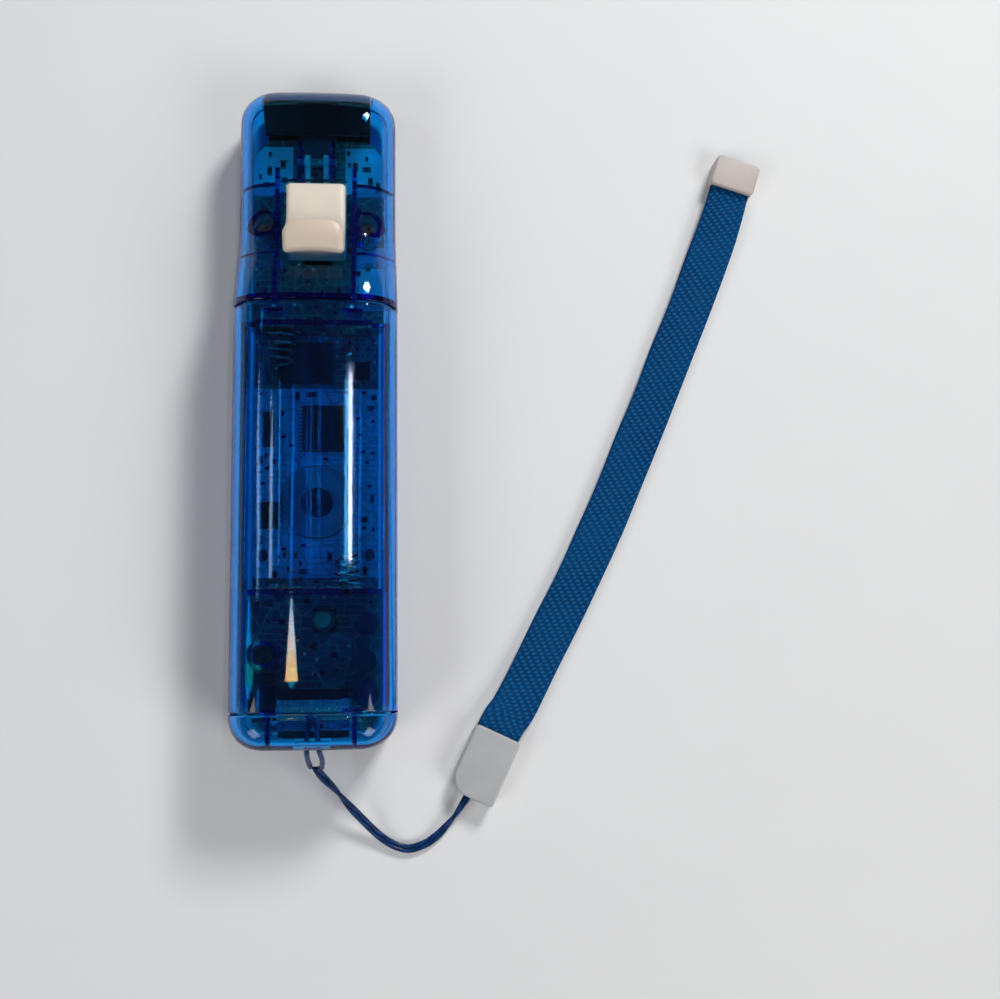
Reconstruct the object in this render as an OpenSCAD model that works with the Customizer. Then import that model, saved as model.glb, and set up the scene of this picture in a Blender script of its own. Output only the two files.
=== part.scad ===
// Motion controller wand, lying on its face, with its wrist strap.
// X runs across, Y to the pointing end and Z up out of the back, in millimetres.

/* [Body] */
// Length of the body
body_l = 148; // [147:0.5:154]
// Width of the body
body_w = 36.2; // [36:0.1:38]
// Thickness from the face to the top of the battery cover
body_h = 25; // [24.8:0.1:26.5]
// Thickness of the nose from the face to its back
nose_h = 19; // [18.8:0.1:20]
// Wall of the three mouldings
wall = 1.6; // [1.4:0.05:1.7]
// Radius of the corners seen from above
plan_r = 7; // [6:0.5:8]
// Radius of the long edges of the back
back_r = 9; // [8:0.5:9.5]
// Radius of the long edges of the face
face_r = 2.5; // [2:0.5:3]
// Radius of the edge between the back and the rear end
end_r = 4.5; // [4:0.5:5]
// Radius of the edge between the nose and the front end
nose_r = 8; // [6:0.5:8]
// Radius of the slight crown across the back
crown_r = 90; // [80:5:120]
// From the front end to the foot of the ramp
ramp_foot = 32; // [31:0.5:34]
// From the front end to the front seam of the battery cover
cover_front = 52; // [51.5:0.5:53]
// From the rear end to the rear seam of the battery cover
cover_rear = 7.5; // [7:0.5:8]
// Parting line of the two shells above the face
part_h = 7; // [6.9:0.1:7.4]
// Lower edge of the battery cover above the face
cover_h = 13; // [12.5:0.1:14]
// Gap round the battery cover
cover_gap = 0.3; // [0.25:0.05:0.4]
// How far the battery cover lifts
cover_lift = 40; // [30:1:60]

/* [Trigger] */
// Width of the trigger
trigger_w = 13.2; // [13:0.1:14.6]
// Gap between the trigger and its opening
trigger_gap = 0.4; // [0.3:0.05:0.6]
// From the front end to the trigger pin
pin_back = 18; // [17.8:0.1:18.5]
// Height of the trigger pin above the face
pin_h = 14.4; // [14.2:0.1:14.8]
// Diameter of the trigger pin
pin_d = 2; // [1.6:0.1:2.2]
// Length of the plate of the trigger, from its front edge to its rear edge
trigger_l = 18.9; // [18:0.1:19.2]
// Height of the lip of the trigger above the face
lip_h = 29.6; // [28:0.1:31]

/* [Buttons] */
// How far the highest buttons stand out of the face
button_rise = 1.2; // [1.1:0.05:1.4]
// Gap round each button
button_gap = 0.3; // [0.25:0.05:0.4]
// Thickness of the flange that keeps a button in
flange_t = 0.8; // [0.6:0.05:0.9]
// How far a flange reaches past the hole
flange_lap = 0.7; // [0.5:0.05:0.8]
// Diameter of the large round button
a_d = 12; // [11:0.2:13]
// Diameter of the power button
power_d = 5.6; // [5:0.1:6]
// Diameter of the three buttons in a row
row_d = 5.4; // [5:0.1:6]
// Diameter of the two lower buttons
low_d = 7.2; // [6.6:0.1:7.4]
// Length of the cross key over its arms
cross_l = 18.4; // [17.6:0.1:18.6]
// Width of an arm of the cross key
cross_w = 6.4; // [6:0.1:7]
// Gap round the cross key
cross_gap = 0.5; // [0.45:0.05:0.6]

/* [Battery bay] */
// Diameter of a cell
cell_d = 14.5; // [14.2:0.1:14.6]
// Length of a cell
cell_l = 50.5; // [49.5:0.1:50.5]
// Room round a cell
cell_gap = 0.15; // [0.1:0.05:0.2]
// Room for the contacts at both ends together
contact_room = 6.7; // [6.5:0.1:7]
// Thickness of the walls of the bay
bay_t = 1.2; // [1:0.05:1.3]
// Gap between the bay and the side walls of the battery cover
bay_gap = 0.55; // [0.4:0.05:0.7]
// Wire of the contact springs
spring_wire = 0.7; // [0.6:0.05:0.8]
// Curls of a contact spring
spring_curls = 4; // [3:1:5]

/* [Circuit board] */
// Underside of the board above the face
board_h = 4.8; // [4.7:0.05:4.9]
// Thickness of the board
board_t = 1; // [0.8:0.05:1.1]
// Gap between the board and the walls
board_gap = 0.9; // [0.7:0.1:1.2]
// Diameter of the speaker
speaker_d = 16; // [15:0.2:16.4]

/* [Screws] */
// Shank of the shell screws
screw_d = 2; // [1.8:0.1:2.2]
// Head of the shell screws
screw_head_d = 4.2; // [4:0.1:4.4]
// Bosses for the shell screws
boss_d = 5.2; // [4.8:0.1:5.4]

/* [Expansion socket] */
// Width inside the socket
port_w = 13.2; // [12.8:0.1:13.4]
// Height inside the socket
port_h = 7.3; // [7.2:0.1:7.5]
// Depth of the socket
port_depth = 9; // [8:0.5:9.5]

/* [Wrist strap] */
// Width of the webbing
strap_w = 10; // [9.6:0.1:10.2]
// Thickness of both layers of the webbing
strap_t = 2.4; // [2.2:0.1:2.5]
// Diameter of one strand of the thin cord
strand_d = 1; // [0.8:0.05:1.1]
// Width of the clasp
clasp_w = 10.9; // [10.7:0.1:11.4]
// Length of the clasp
clasp_l = 15.7; // [15:0.1:16.5]
// Thickness of the clasp
clasp_t = 5; // [4.8:0.1:5.4]
// Width of the slider
slider_w = 10.8; // [10.6:0.1:11.2]
// Length of the slider
slider_l = 7.6; // [7:0.1:8]
// Thickness of the slider
slider_t = 4.6; // [4.5:0.1:5]

/* [Hidden] */
$fn = 48;
front_y = body_l / 2;
rear_y = -body_l / 2;
face_z = button_rise;
face_in = face_z + wall;
back_z = face_z + body_h;
nose_z = face_z + nose_h;
part_z = face_z + part_h;
cover_z = face_z + cover_h;
ramp_y = front_y - ramp_foot;
seam_y = front_y - cover_front;
tail_y = rear_y + cover_rear;
ramp_angle = atan2(back_z - nose_z, ramp_y - seam_y);
inner_hw = body_w / 2 - wall;
end_lift = 0.6;
board_z = face_z + board_h;
board_top = board_z + board_t;
board_hw = inner_hw - board_gap;
board_front = front_y - 9.4;
board_rear = rear_y + 3;
board_corner = 4.4;

// Battery bay
cell_r = cell_d / 2 + cell_gap;
cell_x = inner_hw - bay_gap - bay_t - cell_r;
bay_hw = cell_x + cell_r;
cell_z = part_z + bay_t + cell_r;
bay_front = seam_y - 4.8;
bay_rear = bay_front - cell_l - contact_room;
bay_top = cell_z + 2;
end_wall_top = cell_z + 5.2;
end_wall_hw = 12.4;
deck_rear = tail_y + 1.9;
plate_w = 10;
plate_h = 9;
plate_t = 0.4;
spring_l = 7.5;
spring_base = 3.4;
spring_tip = 1.9;

// Trigger
pin_y = front_y - pin_back;
pin_z = face_z + pin_h;
trigger_front = pin_y - 5.8;
trigger_rear = trigger_front - trigger_l;
lip_z = face_z + lip_h;
opening_front = trigger_front + 0.6;
opening_rear = trigger_rear - 1.4;
rib_in = 3;
rib_t = 1.2;
arm_hw = rib_in - 0.35;
pin_fit = 0.02;
hub_fit = 0.06;

// Buttons
flange_z = face_in + 0.1;
plunger_z = flange_z + flange_t + 0.25;
dome_z = plunger_z + 1;
mat_z = dome_z + 0.5;
mat_t = 0.5;
mat_margin = 1.4;
mat_hw = board_hw - 2.6;
dome_lap = 1;
dome_ring = cross_l / 2 - 2.2;
power_at = [11, front_y - 13];
cross_at = [0, front_y - 27];
a_at = [0, front_y - 49];
minus_at = [10.5, front_y - 71];
home_at = [0, front_y - 71];
plus_at = [-10.5, front_y - 71];
one_at = [0, front_y - 108];
two_at = [0, front_y - 119];
cross_pivot_z = face_z + 3.4;
cross_flange_r = cross_l / 2 + 0.6;
cross_flange_z = face_in + 0.75;
pivot_z = cross_pivot_z + 0.1;
pivot_r = 2.2;

// Speaker, lamps and screws
speaker_at = [0, front_y - 94];
speaker_z = face_in + 0.5;
magnet_r = 3.2;
magnet_gap = 0.2;
magnet_lift = 2.3;
dish_r = 2.4;
light_y = rear_y + 14;
light_xs = [-9, -3, 3, 9];
screw_at = [[11.5, front_y - 33], [-11.5, front_y - 33], [-11, rear_y + 20]];
screw_seat = part_z + 2.8;
screw_fit = 0.05;
tube_d = boss_d + 1.2;
board_screw_at = [[12.5, front_y - 106], [-12.5, front_y - 106]];
post_at = [[14.2, front_y - 20], [-14.2, front_y - 20], [14.2, front_y - 84], [-14.2, front_y - 84],
    [13, rear_y + 10], [-13, rear_y + 10]];

// Rear compartment
port_wall = 0.9;
port_z = board_top + 0.05;
port_floor = port_z + port_wall;
port_front = rear_y + wall + 0.2;
tongue_z = port_floor + 0.9;
tongue_t = 1.2;
motor_r = 2.8;
boot_t = 0.4;
boot_side = 0.25;
motor_at = [motor_r + boot_t + boot_side - bay_hw, port_z + motor_r + boot_t];
weight_r = motor_r - 0.3;
motor_rear = rear_y + 5.5;
motor_l = 8;
motor_gap = 0.03;
weight_y = motor_rear + motor_l + 0.3;
sync_at = [2, rear_y + 27.4];
sync_flange_r = 2.5;
sync_switch_hw = 2.6;
sync_switch_h = 3.4;
sync_stem = 0.8;
sync_gap = 1;
capacitor_r = [2.6, 2.4, 2.8];
capacitor_x = bay_hw - max(capacitor_r) - 0.65;
capacitor_at = [[capacitor_x, rear_y + 26.5], [capacitor_x, rear_y + 18.5], [capacitor_x, rear_y + 11.7]];
capacitor_l = [8, 7, 9];
anchor_y = rear_y + 5;
anchor_z = part_z + 11;
anchor_r = 1.1;
slot_hw = 4;
slot_z = anchor_z - 2;
slot_h = 3.8;

// Front window
window_hw = 11.8;
window_z = face_z + 3.8;
window_h = 9;
window_gap = 0.2;
window_depth = 9;
lens_z = board_top + 3;

// Wrist strap: routes laid by hand from the photo
loop_route = [[-0.9, rear_y - 4.3, 11.6], [-1.3, rear_y - 2.4, 14.6], [-1.3, rear_y - 0.4, 17.4],
    [-1.2, rear_y + 2.2, 17.7], [-1, anchor_y, 17.4], [-0.6, anchor_y + 1.8, 18.4],
    [0.1, anchor_y + 1.9, 20.1], [0.8, anchor_y + 0.2, 21], [1.2, rear_y + 2.4, 20.5],
    [1.4, rear_y - 0.2, 19.2], [1.9, rear_y - 2.4, 16], [1.7, rear_y - 4.3, 12.8]];
string_route = [[0.3, rear_y - 4.6, 11], [1.7, rear_y - 6.8, 9], [4.5, rear_y - 9.9, 7],
    [7.6, rear_y - 13.8, 5], [11, rear_y - 17.6, 3.1], [14.1, rear_y - 20.7, 1.8],
    [17.4, rear_y - 22.9, 1.2], [20.6, rear_y - 23.7, 1.1], [24, rear_y - 22.8, 1.1],
    [26.7, rear_y - 21.1, 1.2], [28.7, rear_y - 19.1, 1.4], [31, rear_y - 16.4, 1.8],
    [32.8, rear_y - 13.7, 2.3], [34.6, rear_y - 11, 2.5]];
string_r = strand_d;
clasp_at = [34.2, rear_y - 12.4];
clasp_turn = -25.3;
strap_route = [[40.5, -72.8, 2.5], [42.3, -69.6, 2.4], [44.9, -66, 2], [50.2, -55.8, 1.4], [55.6, -45.6, 1.3],
    [60.8, -35.2, 1.3], [65.8, -24.8, 1.3], [70.4, -14.2, 1.3], [75, -3.5, 1.3], [79.5, 7.3, 1.3],
    [84, 18.2, 1.3], [88.5, 29.2, 1.4], [92.8, 40.3, 1.7], [96.7, 51.5, 2.1], [99.9, 62.4, 2.3]];
strap_gather = [1, 1, 1, 1, 1, 1, 1, 1, 1, 1, 1, 1, 1, 0.9, 0.86];
slider_at = [99.2, 59.6];
slider_turn = -17.5;
slot_room = 0.3;

blue = [0.02, 0.2, 0.75, 0.45];
white = [0.9, 0.86, 0.8];
grey = [0.75, 0.76, 0.78];
dark = [0.08, 0.08, 0.09];
steel = [0.7, 0.7, 0.72];
rubber = [0.35, 0.36, 0.38];

// Points along an arc in a plane
function arc(c, r, a0, a1, n) = [for (i = [0:n])
    let (a = a0 + (a1 - a0) * i / n)
    c + r * [cos(a), sin(a)]];

// Rounded rectangle about the middle
function plan_points(hw, hl, r) = concat(
    arc([hw - r, hl - r], r, 0, 90, 8), arc([r - hw, hl - r], r, 90, 180, 8),
    arc([r - hw, r - hl], r, 180, 270, 8), arc([hw - r, r - hl], r, 270, 360, 8));

// Section across the body: crowned top, round long edges
function crown_section(hw, top, cr, r, bottom, fr) =
    let (z0 = top - cr, xc = hw - r, zc = z0 + sqrt((cr - r) * (cr - r) - xc * xc), a = atan2(zc - z0, xc))
    concat(arc([hw - fr, bottom + fr], fr, -90, 0, 4), arc([xc, zc], r, 0, a, 8),
        arc([0, z0], cr, a, 180 - a, 6), arc([-xc, zc], r, 180 - a, 180, 8),
        arc([fr - hw, bottom + fr], fr, 180, 270, 4));

// Outline of the body from the side, with both ends rounded
function side_points(t) =
    let (er = end_r - t, nr = nose_r - t, low = face_z + t - 0.3, fr = max(face_r - t, 0.5))
    concat(arc([rear_y + t + fr, low + fr], fr, 180, 270, 4),
        arc([front_y - t - fr, low + fr], fr, 270, 360, 4),
        arc([front_y - t - nr, nose_z - t + end_lift - nr], nr, 0, 90, 8),
        [[ramp_y + 1, nose_z - t + end_lift], [seam_y, back_z + 3]],
        arc([rear_y + t + er, back_z - t + end_lift - er], er, 90, 180, 8));

// Section of the battery bay: two troughs side by side, with a flat ridge where they stand apart
function bay_points(r, hw, top, ridge = 0) =
    let (q = max(asin(ridge / r), acos(min(1, cell_x / r))))
    concat([[hw, top]], arc([cell_x, cell_z], r, 0, q - 180, 12),
        arc([-cell_x, cell_z], r, -q, -180, 12), [[-hw, top]]);

// Smooth route through points laid by hand
function spline(p, n) =
    let (e = len(p) - 1)
    concat([for (i = [0:e - 1], k = [0:n - 1])
        let (t = k / n, a = p[max(i - 1, 0)], b = p[i], c = p[i + 1], d = p[min(i + 2, e)])
        0.5 * (2 * b + (c - a) * t + (2 * a - 5 * b + 4 * c - d) * t * t
            + (3 * b - a - 3 * c + d) * t * t * t)],
        [p[e]]);
function unit(v) = v / norm(v);
function along(p, i) = unit(p[min(i + 1, len(p) - 1)] - p[max(i - 1, 0)]);
function ring(c, t, ref, s) =
    let (u = unit(cross(ref, t)), v = cross(t, u))
    [for (q = s) c + q[0] * u + q[1] * v];
function circle_points(r, n) = [for (j = [0:n - 1]) r * [cos(360 * j / n), sin(360 * j / n)]];
function strap_points(hw, ht) = [[hw, -ht * 0.5], [hw, ht * 0.5], [hw - 0.4, ht], [0.4 - hw, ht],
    [-hw, ht * 0.5], [-hw, -ht * 0.5], [0.4 - hw, -ht], [hw - 0.4, -ht]];
function curl_point(a) = let (f = a / (360 * spring_curls), r = spring_base + (spring_tip - spring_base) * f)
    [r * cos(a), spring_wire / 2 + 0.05 + f * (spring_l - spring_wire), r * sin(a)];

// Closed tube from a list of rings
module skin(rings) {
    m = len(rings[0]);
    n = len(rings);
    points = [for (r = rings, p = r) p];
    sides = [for (i = [0:n - 2], j = [0:m - 1], k = [0:1])
        let (a = i * m + j, b = i * m + (j + 1) % m)
        k == 0 ? [a, b, b + m] : [a, b + m, a + m]];
    first = [for (j = [1:m - 2]) [0, j + 1, j]];
    last = [for (j = [1:m - 2]) [(n - 1) * m, (n - 1) * m + j, (n - 1) * m + j + 1]];
    polyhedron(points = points, faces = concat(sides, first, last), convexity = 10);
}

// Tube with one section all along a path
module tube(path, ref, section) {
    skin([for (i = [0:len(path) - 1]) ring(path[i], along(path, i), ref, section)]);
}

// Flat shape run along Y
module run_y(points, y0, y1) {
    translate([0, y1, 0]) rotate([90, 0, 0]) linear_extrude(height = y1 - y0) polygon(points);
}

// Flat shape in Y and Z run along X
module run_x(points, x0, x1) {
    translate([x0, 0, 0]) rotate([90, 0, 90]) linear_extrude(height = x1 - x0) polygon(points);
}

module block(x0, x1, y0, y1, z0, z1) {
    translate([x0, y0, z0]) cube([x1 - x0, y1 - y0, z1 - z0]);
}

// Block on the side s of the middle, between two distances from it
module side_block(s, x0, x1, y0, y1, z0, z1) {
    block(min(s * x0, s * x1), max(s * x0, s * x1), y0, y1, z0, z1);
}

module rod_x(r, x0, x1, y, z) {
    translate([x0, y, z]) rotate([0, 90, 0]) cylinder(r = r, h = x1 - x0);
}

module rod_y(r, x, y0, y1, z) {
    translate([x, y1, z]) rotate([90, 0, 0]) cylinder(r = r, h = y1 - y0);
}

module post(at, r, z0, z1) {
    translate([at[0], at[1], z0]) cylinder(r = r, h = z1 - z0);
}

// Whole body as a solid, drawn in by t
module solid_body(t) {
    hw = body_w / 2 - t;
    fr = max(face_r - t, 0.5);
    intersection() {
        translate([0, 0, -2]) linear_extrude(height = body_h + 12)
            polygon(plan_points(hw, body_l / 2 - t, plan_r - t));
        run_x(side_points(t), -body_w, body_w);
        union() {
            run_y(crown_section(hw, nose_z - t, crown_r - t, back_r - t, face_z + t, fr), -body_l, body_l);
            intersection() {
                run_y(crown_section(hw, back_z - t, crown_r - t, back_r - t, face_z + t, fr), -body_l, body_l);
                translate([0, ramp_y, nose_z]) rotate([-ramp_angle, 0, 0])
                    run_y(crown_section(hw, -t, crown_r - t, back_r - t, -90, 0.5),
                        -body_l * 1.2, body_l * 1.2);
            }
        }
    }
}

module hollow_body() {
    difference() {
        solid_body(0);
        solid_body(wall);
    }
}

// Inside ribs, kept within the wall
module within_wall() {
    intersection() {
        children();
        solid_body(wall * 0.5);
    }
}

module cross_shape(l, w, z0, z1) {
    block(-l / 2, l / 2, -w / 2, w / 2, z0, z1);
    block(-w / 2, w / 2, -l / 2, l / 2, z0, z1);
}

// Round button with a domed crown, a flange and a plunger
module round_button(at, d, crown_z) {
    r = d / 2;
    dome = arc([0, crown_z + r * 2.6], r * 2.6, -90, -90 + asin((r - 0.4) / (r * 2.6)), 5);
    translate([at[0], at[1], 0]) rotate_extrude()
        polygon(concat(dome, [[r, dome[5][1] + 0.5], [r, flange_z], [r + flange_lap + button_gap, flange_z],
            [r + flange_lap + button_gap, flange_z + flange_t], [r - 0.8, flange_z + flange_t],
            [r - 0.8, plunger_z], [0, plunger_z]]));
}

module mat_dome(at, r) {
    post(at, r, dome_z, mat_z + 0.1);
}

module front_opening() {
    block(-window_hw - window_gap, window_hw + window_gap, front_y - wall - 0.5, front_y + 1,
        window_z - window_gap, window_z + window_h + window_gap);
}

module port_opening() {
    block(-port_w / 2 - 0.2, port_w / 2 + 0.2, rear_y - 1, rear_y + wall + 0.5,
        port_floor - 0.2, port_floor + port_h + 0.2);
}

module front_shell() {
    color(blue) difference() {
        union() {
            intersection() {
                hollow_body();
                block(-body_w, body_w, -body_l, body_l, 0, part_z);
            }
            for (p = screw_at) post(p, boss_d / 2, face_in - 0.4, part_z);
            for (p = board_screw_at) post(p, 1.8, face_in - 0.4, board_z);
            for (p = post_at) post(p, 0.9, face_in - 0.4, board_z);
        }
        for (p = screw_at) post(p, screw_d / 2 + screw_fit, face_in + 1, part_z + 1);
        for (p = board_screw_at) post(p, 0.65, face_in + 0.6, board_z + 1);
        translate([cross_at[0], cross_at[1], 0])
            cross_shape(cross_l + 2 * cross_gap, cross_w + 2 * cross_gap, face_z - 1, face_in + 1);
        post(a_at, a_d / 2 + button_gap, face_z - 1, face_in + 1);
        post(power_at, power_d / 2 + button_gap, face_z - 1, face_in + 1);
        for (p = [minus_at, home_at, plus_at]) post(p, row_d / 2 + button_gap, face_z - 1, face_in + 1);
        for (p = [one_at, two_at]) post(p, low_d / 2 + button_gap, face_z - 1, face_in + 1);
        for (x = light_xs) block(x - 1.5, x + 1.5, light_y - 0.8, light_y + 0.8, face_z - 1, face_in + 1);
        for (i = [-2:2], j = [-1:1]) post(speaker_at + [i * 2.2, j * 2.6], 0.6, face_z - 1, face_in + 1);
        front_opening();
        port_opening();
    }
}

module back_shell() {
    color(blue) difference() {
        union() {
            difference() {
                intersection() {
                    hollow_body();
                    block(-body_w, body_w, -body_l, body_l, part_z, back_z + 5);
                }
                block(-body_w, body_w, tail_y, seam_y, cover_z, back_z + 5);
            }
            // Battery bay with its ledges, end walls and deck
            run_y(bay_points(cell_r + bay_t, bay_hw + bay_t, bay_top, bay_t), bay_rear - bay_t,
                bay_front + bay_t);
            for (y = [bay_front, bay_rear - bay_t])
                block(-end_wall_hw, end_wall_hw, y, y + bay_t, cell_z, end_wall_top);
            for (s = [-1, 1]) {
                side_block(s, bay_hw + 0.1, inner_hw + 0.3, deck_rear, bay_front + bay_t,
                    cover_z - 1.2, cover_z);
                side_block(s, bay_hw, bay_hw + bay_t, deck_rear, bay_rear, cover_z - 1.2, bay_top);
            }
            block(-bay_hw - bay_t, bay_hw + bay_t, deck_rear, bay_rear, bay_top - bay_t, bay_top);
            // Wall under the seam, walls of the trigger well, ribs for the pin
            within_wall() block(-body_w, body_w, seam_y + 0.3, seam_y + 1.5, part_z, back_z);
            for (s = [-1, 1]) {
                within_wall() block(s * 8.5 - 0.5, s * 8.5 + 0.5, seam_y + 1, pin_y - 2, part_z + 2, back_z);
                within_wall() block(s * (rib_in + rib_t / 2) - rib_t / 2, s * (rib_in + rib_t / 2) + rib_t / 2,
                    opening_front - 0.1, pin_y + 4, pin_z - 2.2, back_z);
                within_wall() block(s * 9 - 0.5, s * 9 + 0.5, rear_y, anchor_y + 1.8, port_floor + 8.6, back_z);
            }
            rod_x(anchor_r, -9, 9, anchor_y, anchor_z);
            for (p = screw_at) within_wall() post(p, tube_d / 2, part_z, p[1] > 0 ? back_z : bay_top);
        }
        run_y(bay_points(cell_r, bay_hw, back_z + 2), bay_rear, bay_front);
        block(-trigger_w / 2 - trigger_gap, trigger_w / 2 + trigger_gap, opening_rear, opening_front,
            pin_z + 1, back_z + 2);
        rod_x(pin_d / 2 + pin_fit, -rib_in - rib_t - 1, rib_in + rib_t + 1, pin_y, pin_z);
        for (p = screw_at) {
            post(p, screw_d / 2 + 0.25, part_z - 1, screw_seat + 1);
            post(p, screw_head_d / 2 + 0.2, screw_seat, back_z + 2);
        }
        post(sync_at, 2, bay_top - bay_t - 1, bay_top + 1);
        block(-slot_hw, slot_hw, rear_y - 1, rear_y + wall + 0.6, slot_z, slot_z + slot_h);
        front_opening();
        port_opening();
    }
}

module battery_cover() {
    color(blue) {
        intersection() {
            hollow_body();
            block(-body_w, body_w, tail_y + cover_gap, seam_y - cover_gap, cover_z + cover_gap, back_z + 5);
        }
        for (s = [-1, 1]) {
            within_wall() block(s * 8.5 - 2, s * 8.5 + 2, seam_y - 2.8, seam_y - 1.6, bay_top + 0.4, back_z);
            within_wall() block(s * 8.5 - 2, s * 8.5 + 2, tail_y + 0.5, tail_y + 1.5, bay_top + 0.4, back_z);
        }
    }
}

module trigger() {
    f = trigger_front;
    r = trigger_rear;
    low = pin_z - 2.1;
    top = nose_z - 0.2;
    valley = [for (a = [0:15:90])
        [f - 6.5 - (f - 13.6 - r) * sin(a), top + 0.7 + (lip_z - 3.3 - top) * (1 - cos(a))]];
    lip = [for (a = [18:18:180]) [r + 3.55 * (1 + cos(a)), lip_z - 2.6 + 2.6 * sin(a)]];
    profile = concat([[r, low], [f, low], [f, top - 0.5], [f - 0.5, top]], valley, lip);
    color(white) difference() {
        union() {
            intersection() {
                run_x(profile, -trigger_w / 2, trigger_w / 2);
                run_y(crown_section(trigger_w / 2, lip_z, 30, 2.6, low - 1, 0.3), r - 2, f + 2);
            }
            block(-arm_hw, arm_hw, f - 2, pin_y, pin_z - 1.9, pin_z + 1.9);
            rod_x(1.9, -arm_hw, arm_hw, pin_y, pin_z);
        }
        block(-trigger_w / 2 + 1.5, trigger_w / 2 - 1.5, r + 1.5, f - 2.2, low - 1, top - 1.6);
        block(-trigger_w / 2 + 1.9, trigger_w / 2 - 1.9, r + 1.5, r + 5.6, low - 1, lip_z - 3.6);
        rod_x(pin_d / 2 + hub_fit, -arm_hw - 1, arm_hw + 1, pin_y, pin_z);
    }
}

module trigger_pin() {
    color(steel) rod_x(pin_d / 2, -rib_in - rib_t - 0.2, rib_in + rib_t + 0.2, pin_y, pin_z);
}

module trigger_switch() {
    color(dark) block(-3, 3, trigger_rear + 3.8, trigger_rear + 9.8, board_top + 0.02, board_top + 1.9);
    color(dark) post([0, trigger_rear + 6.8], 1.6, board_top + 1.8, board_top + 2.6);
}

module ir_window() {
    y1 = front_y - 0.1;
    flange_y = front_y - wall - 0.4;
    color(dark) difference() {
        union() {
            block(-window_hw, window_hw, y1 - window_depth, y1, window_z, window_z + window_h);
            block(-window_hw - 0.8, window_hw + 0.8, flange_y - 1.2, flange_y,
                window_z - 0.8, window_z + window_h + 0.8);
        }
        block(-window_hw + 1, window_hw - 1, y1 - window_depth - 1, y1 - 1.6,
            window_z + 1, window_z + window_h - 1);
    }
}

module ir_camera() {
    y1 = board_front - 0.4;
    color(dark) difference() {
        union() {
            block(-4, 4, y1 - 6.4, y1, board_top + 0.02, board_top + 5.6);
            rod_y(2.4, 0, y1 - 1, y1 + 4, lens_z);
        }
        rod_y(1.9, 0, y1 + 1, y1 + 5, lens_z);
    }
}

module ir_lens() {
    y1 = board_front - 0.4;
    color(dark) rod_y(1.85, 0, y1 + 1.05, y1 + 3, lens_z);
}

module main_board() {
    c = board_corner;
    w = board_hw;
    outline = [[w, board_rear + c], [w, board_front - c], [w - c, board_front], [c - w, board_front],
        [-w, board_front - c], [-w, board_rear + c], [c - w, board_rear], [w - c, board_rear]];
    color([0.05, 0.25, 0.15]) difference() {
        translate([0, 0, board_z]) linear_extrude(height = board_t) polygon(outline);
        for (p = screw_at) post(p, boss_d / 2 + 0.3, board_z - 1, board_top + 1);
        for (p = board_screw_at) post(p, 0.8, board_z - 1, board_top + 1);
        post(speaker_at, speaker_d / 2 + 0.4, board_z - 1, board_top + 1);
    }
}

module d_pad() {
    color(white) translate([cross_at[0], cross_at[1], 0]) {
        cross_shape(cross_l - 1, cross_w - 1, 0, 0.5);
        cross_shape(cross_l, cross_w, 0.45, cross_flange_z + 0.1);
        translate([0, 0, cross_flange_z]) cylinder(r = cross_flange_r, h = 0.5);
        translate([0, 0, cross_flange_z + 0.4]) cylinder(r = 0.9, h = cross_pivot_z - cross_flange_z - 0.4);
    }
}

module d_pad_pivot() {
    color(rubber) post(cross_at, pivot_r, pivot_z, pivot_z + 0.6);
}

module a_button() {
    color(white) round_button(a_at, a_d, 0);
}

module power_button() {
    color(white) round_button(power_at, power_d, 0.4);
}

module minus_button() {
    color(white) round_button(minus_at, row_d, 0.3);
}

module home_button() {
    color(white) round_button(home_at, row_d, 0.3);
}

module plus_button() {
    color(white) round_button(plus_at, row_d, 0.3);
}

module one_button() {
    color(white) round_button(one_at, low_d, 0);
}

module two_button() {
    color(white) round_button(two_at, low_d, 0);
}

module front_membrane() {
    color(rubber) difference() {
        union() {
            block(-mat_hw, mat_hw, a_at[1] - a_d / 2 - mat_margin, power_at[1] + power_d / 2 + 0.4,
                mat_z, mat_z + mat_t);
            mat_dome(a_at, a_d / 2 - dome_lap);
            mat_dome(power_at, power_d / 2 - dome_lap);
            for (a = [0:90:270]) mat_dome(cross_at + dome_ring * [cos(a), sin(a)], cross_w / 4);
        }
        for (p = screw_at) post(p, boss_d / 2 + 0.4, 0, board_z + 1);
        post(cross_at, pivot_r + 0.6, 0, board_z + 1);
    }
}

module middle_membrane() {
    half = row_d / 2 + mat_margin;
    color(rubber) block(-mat_hw, mat_hw, home_at[1] - half, home_at[1] + half, mat_z, mat_z + mat_t);
    color(rubber) for (p = [minus_at, home_at, plus_at]) mat_dome(p, row_d / 2 - dome_lap);
}

module rear_membrane() {
    half = low_d / 2 + mat_margin;
    color(rubber) block(-half, half, two_at[1] - half, one_at[1] + half, mat_z, mat_z + mat_t);
    color(rubber) for (p = [one_at, two_at]) mat_dome(p, low_d / 2 - dome_lap);
}

module sync_button() {
    color([0.7, 0.1, 0.1]) {
        post(sync_at, 1.7, board_top + sync_switch_h + sync_stem + sync_gap, bay_top + 0.6);
        post(sync_at, sync_flange_r, bay_top - bay_t - 1.2, bay_top - bay_t - 0.1);
    }
}

module sync_switch() {
    color(dark) {
        translate([sync_at[0], sync_at[1], board_top + 0.02]) linear_extrude(height = sync_switch_h - 0.02)
            square(2 * sync_switch_hw, center = true);
        post(sync_at, 1.4, board_top + sync_switch_h - 0.1, board_top + sync_switch_h + sync_stem);
    }
}

module speaker_frame() {
    color(dark) difference() {
        post(speaker_at, speaker_d / 2, speaker_z, board_top + 0.4);
        post(speaker_at, speaker_d / 2 - 0.8, speaker_z - 1, board_top - 0.4);
        post(speaker_at, magnet_r + magnet_gap, speaker_z, board_top + 1);
    }
}

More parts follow.
